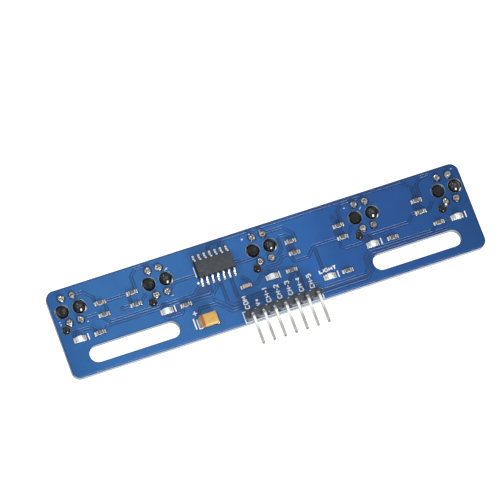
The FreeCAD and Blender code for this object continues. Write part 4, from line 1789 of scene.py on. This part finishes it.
@dataclass
class PinHeader:
    """The header: a grooved plastic strip and seven square pins bent outwards.

    Attributes:
        pitch: The distance between pins.
        groove: The depth of the grooves between the strip's units.
        size: The thickness of a pin.
        bend: The radius of a pin's bend, at its middle line.
        count: The number of pins.
        trim: How much narrower the strip is than its plain block, at the board's edge.
        taper: The length of a pin's two tapers.
        point: How wide the tail's end is, as a share of the pin.
    """

    pitch: float = 2.54
    groove: float = 0.45
    size: float = 0.64
    bend: float = 1.28
    count: int = 7
    trim: float = 0.2
    taper: Point = (0.3, 0.35)
    point: float = 0.55

    def build(self) -> None:
        """Build the strip and the pins."""
        self.strip()
        self.pins()

    def tail_places(self) -> Iterator[Vector]:
        """Give the middle of every pin's tail, on the board."""
        low, high = box_of("header_solder_joints")
        for index in range(self.count):
            yield Vector((low.x + 0.87 + index * self.pitch, (low.y + high.y) / 2, 0))

    def axes(self) -> Iterator[Point]:
        """Give the place of every pin's upright axis."""
        low, high = box_of("header_pins")
        for index in range(self.count):
            yield low.x + self.size / 2 + index * self.pitch, high.y - self.size / 2

    def strip(self) -> None:
        """Build the strip as one outline with a groove on each side between its units."""
        low, high = box_of("header_housing")
        groove, pitch, front = self.groove, self.pitch, low.y + self.trim
        unit = [(0, groove), (groove, 0), (pitch - groove, 0)]
        outline = [(low.x + index * pitch + x, front + y) for index in range(self.count) for x, y in unit]
        outline.append((low.x + self.count * pitch, front + groove))
        outline += [(x, high.y + front - y) for x, y in outline[::-1]]
        form = Form()
        form.soften(form.prism([(x, y, 0.0) for x, y in outline], (0, 0, high.z)), 0.16, 2, 40)
        wells = Form()
        for x, y in self.axes():
            wells.block((1.0, 1.0, 0.5), (x, y, high.z + 0.1), 0.1)
        form = form.carved(wells)
        form.install("header_strip", [HEADER_PLASTIC], ["header_housing"], "header_plastic")

    def pins(self) -> None:
        """Build the seven pins: a tail, a straight, a quarter turn, and the free end with its taper."""
        low, high = box_of("header_pins")
        form = Form()
        half = self.size / 2
        narrow = half * self.point
        tail, tip = self.taper
        bend_low = high.z - half - self.bend
        for x, y in self.axes():
            verts = [form.bm.verts.new((x + dx * narrow, y + dy * narrow, low.z))
                     for dx, dy in ((-1, -1), (1, -1), (1, 1), (-1, 1))]
            face = self.pulled(form, form.bm.faces.new(verts), UP * tail, 1 / self.point)
            face = self.pulled(form, face, UP * (bend_low - low.z - tail))
            made = bmesh.ops.spin(form.bm, geom=[face, *face.edges, *face.verts],
                                  cent=(x, y - self.bend, bend_low), axis=AXIS_X, dvec=(0, 0, 0),
                                  angle=math.radians(90), steps=8, use_merge=False, use_duplicate=False)
            face = next(item for item in made["geom_last"] if isinstance(item, bmesh.types.BMFace))
            face = self.pulled(form, face, AXIS_Y * -(y - self.bend - low.y - tip))
            face = self.pulled(form, face, AXIS_Y * -tip, 0.5)
            end = [face, *{other for edge in face.edges for other in edge.link_faces}]
            form.bm.normal_update()
            # Painted shade: the pins' sides, facing along X, take the darker copy of the metal; the cut ends
            # take the sheared metal.
            for each in form.painted(form.connected(face.verts), 0):
                each.material_index = 1 if each in end else 2 * int(abs(each.normal.x) > 0.7)
        form.soften(form.bm.faces[:], 0.05, 1, 60)
        form.install("header_pin_wires", [PIN_METAL, CUT_METAL, SHADED_PIN_SIDE], ["header_pins"], "header_pins", 18)

    def pulled(self, form: Form, face: bmesh.types.BMFace, along: Vector,
               scale: float = 1.0) -> bmesh.types.BMFace:
        """Extrude a face, move it and scale it.

        Args:
            form: The form.
            face: The face.
            along: How far and which way.
            scale: How much larger or smaller the new end is.

        Returns:
            The new end face.
        """
        made = bmesh.ops.extrude_face_region(form.bm, geom=[face])["geom"]
        verts = [item for item in made if isinstance(item, bmesh.types.BMVert)]
        bmesh.ops.translate(form.bm, vec=along, verts=verts)
        end = next(item for item in made if isinstance(item, bmesh.types.BMFace))
        if scale != 1.0:
            middle = end.calc_center_median()
            bmesh.ops.scale(form.bm, vec=(scale,) * 3, space=Matrix.Translation(-middle), verts=verts)
        if face.is_valid and scale == 1.0 and len(face.verts[0].link_faces) > 4:
            bmesh.ops.delete(form.bm, geom=[face], context="FACES_ONLY")
        return end


# --- the studio ---

@dataclass(frozen=True)
class SoftBox:
    """A soft light that faces the board.

    Attributes:
        name: Its name.
        bearing: The direction from the board to it.
        distance: How far away it is, in millimetres.
        size: Its width and height, in millimetres.
        brightness: How bright its face is, where 1 is a white surface in the picture.
        colour: Its colour.
    """

    name: str
    bearing: Triple
    distance: float
    size: Point
    brightness: float
    colour: Triple

    def hang(self) -> None:
        """Hang it."""
        data = bpy.data.lights.new(self.name, "AREA")
        data.shape = "RECTANGLE"
        data.size, data.size_y = self.size[0] * MM, self.size[1] * MM
        data.energy = self.brightness * math.pi * data.size * data.size_y
        data.color = self.colour
        light = bpy.data.objects.new(self.name, data)
        direction = Vector(self.bearing).normalized()
        light.location = (BOARD_MIDDLE + direction * self.distance) * MM
        light.rotation_euler = direction.to_track_quat("Z", "Y").to_euler()
        bpy.context.scene.collection.objects.link(light)


@dataclass
class Studio:
    """The floor, the lights and the camera.

    Attributes:
        aim: The point on the component side that the camera looks at, about the board's middle.
        azimuth: The camera's bearing, in degrees; 0 looks along +Y.
        elevation: Its height above the board's plane, in degrees.
        roll: How far it is rolled, in degrees.
        distance: Its distance from the aim, in millimetres.
        lens: Its focal length, for a sensor 36 mm wide.
        floor_size: The width of the floor.
        surround: How bright the surround is at the horizon and overhead.
        lights: The soft lights.
    """

    aim: Point = (-2.10, 5.43)
    azimuth: float = -38.02
    elevation: float = 72.09
    roll: float = 18.78
    distance: float = 864.6
    lens: float = 284.5
    floor_size: float = 4000.0
    surround: Point = (0.22, 0.52)
    lights: tuple[SoftBox, ...] = (
        SoftBox("near_window", (0.12, -0.94, 0.35), 420, (210, 180), 18.0, (1.0, 0.99, 0.97)),
        SoftBox("far_window", (-0.34, 0.84, 0.43), 520, (120, 120), 12.0, (0.97, 0.98, 1.0)),
        SoftBox("side_window", (-0.76, 0.05, 0.63), 170, (130, 130), 1.2, (0.82, 0.92, 1.0)),
        SoftBox("overhead", (0.19, 0.24, 0.95), 760, (420, 420), 0.78, (0.97, 0.99, 1.0)),
    )

    def build(self) -> None:
        """Build the studio."""
        self.floor()
        self.sky()
        for light in self.lights:
            light.hang()
        self.camera()

    def floor(self) -> None:
        """Lay the pale floor that the sensors stand on."""
        form = Form()
        thickness = 2.0
        middle = (0, 0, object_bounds()[0].z / MM - thickness / 2)
        form.box((self.floor_size, self.floor_size, thickness), middle)
        bmesh.ops.scale(form.bm, vec=(MM, MM, MM), verts=form.bm.verts)
        floor = form.as_object("studio_floor")
        floor.data.materials.append(PALE_FLOOR.material())
        floor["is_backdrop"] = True

    def sky(self) -> None:
        """Give the scene a white surround that dims towards the horizon."""
        world = bpy.data.worlds.new("surround")
        world.use_nodes = True
        nodes, links = world.node_tree.nodes, world.node_tree.links
        nodes["Background"].inputs["Color"].default_value = (1.0, 1.0, 1.0, 1.0)
        place = nodes.new("ShaderNodeTexCoord")
        parts = nodes.new("ShaderNodeSeparateXYZ")
        climb = nodes.new("ShaderNodeMapRange")
        horizon, overhead = self.surround
        for key, value in (("From Min", 0.05), ("From Max", 0.95), ("To Min", horizon), ("To Max", overhead)):
            climb.inputs[key].default_value = value
        links.new(place.outputs["Generated"], parts.inputs["Vector"])
        links.new(parts.outputs["Z"], climb.inputs["Value"])
        links.new(climb.outputs["Result"], nodes["Background"].inputs["Strength"])
        bpy.context.scene.world = world
        bpy.context.scene.view_settings.view_transform = "Standard"

    def camera(self) -> None:
        """Set up the camera."""
        turn, tilt = math.radians(self.azimuth), math.radians(self.elevation)
        back = Vector((math.sin(turn) * math.cos(tilt), -math.cos(turn) * math.cos(tilt), math.sin(tilt)))
        data = bpy.data.cameras.new("camera")
        data.lens = self.lens
        data.sensor_width = 36.0
        data.clip_end = 10.0
        camera = bpy.data.objects.new("camera", data)
        look = (-back).to_track_quat("-Z", "Y").to_matrix().to_4x4()
        rolled = look @ Matrix.Rotation(math.radians(self.roll), 4, "Z")
        camera.matrix_world = Matrix.Translation((on_board(*self.aim) + back * self.distance) * MM) @ rolled
        bpy.context.scene.collection.objects.link(camera)
        bpy.context.scene.camera = camera


def main() -> None:
    """Build every sub-assembly in order."""
    logging.basicConfig(level=logging.INFO, format="%(name)s: %(message)s")
    sensors = [ReflectiveSensor(number) for number in SENSORS]
    sensors[2] = ReflectiveSensor(3, lead_tops=(0.42, 0.42, 1.5, 1.6), lead_lean=26.0)
    for part in (Studio(), CircuitBoard(), Legend(), *sensors, SolderWork(), ChipResistors(),
                 CeramicCapacitor(), StatusLights(), TantalumCapacitor(), ComparatorChip(), PinHeader()):
        part.build()


if __name__ == "__main__":
    main()
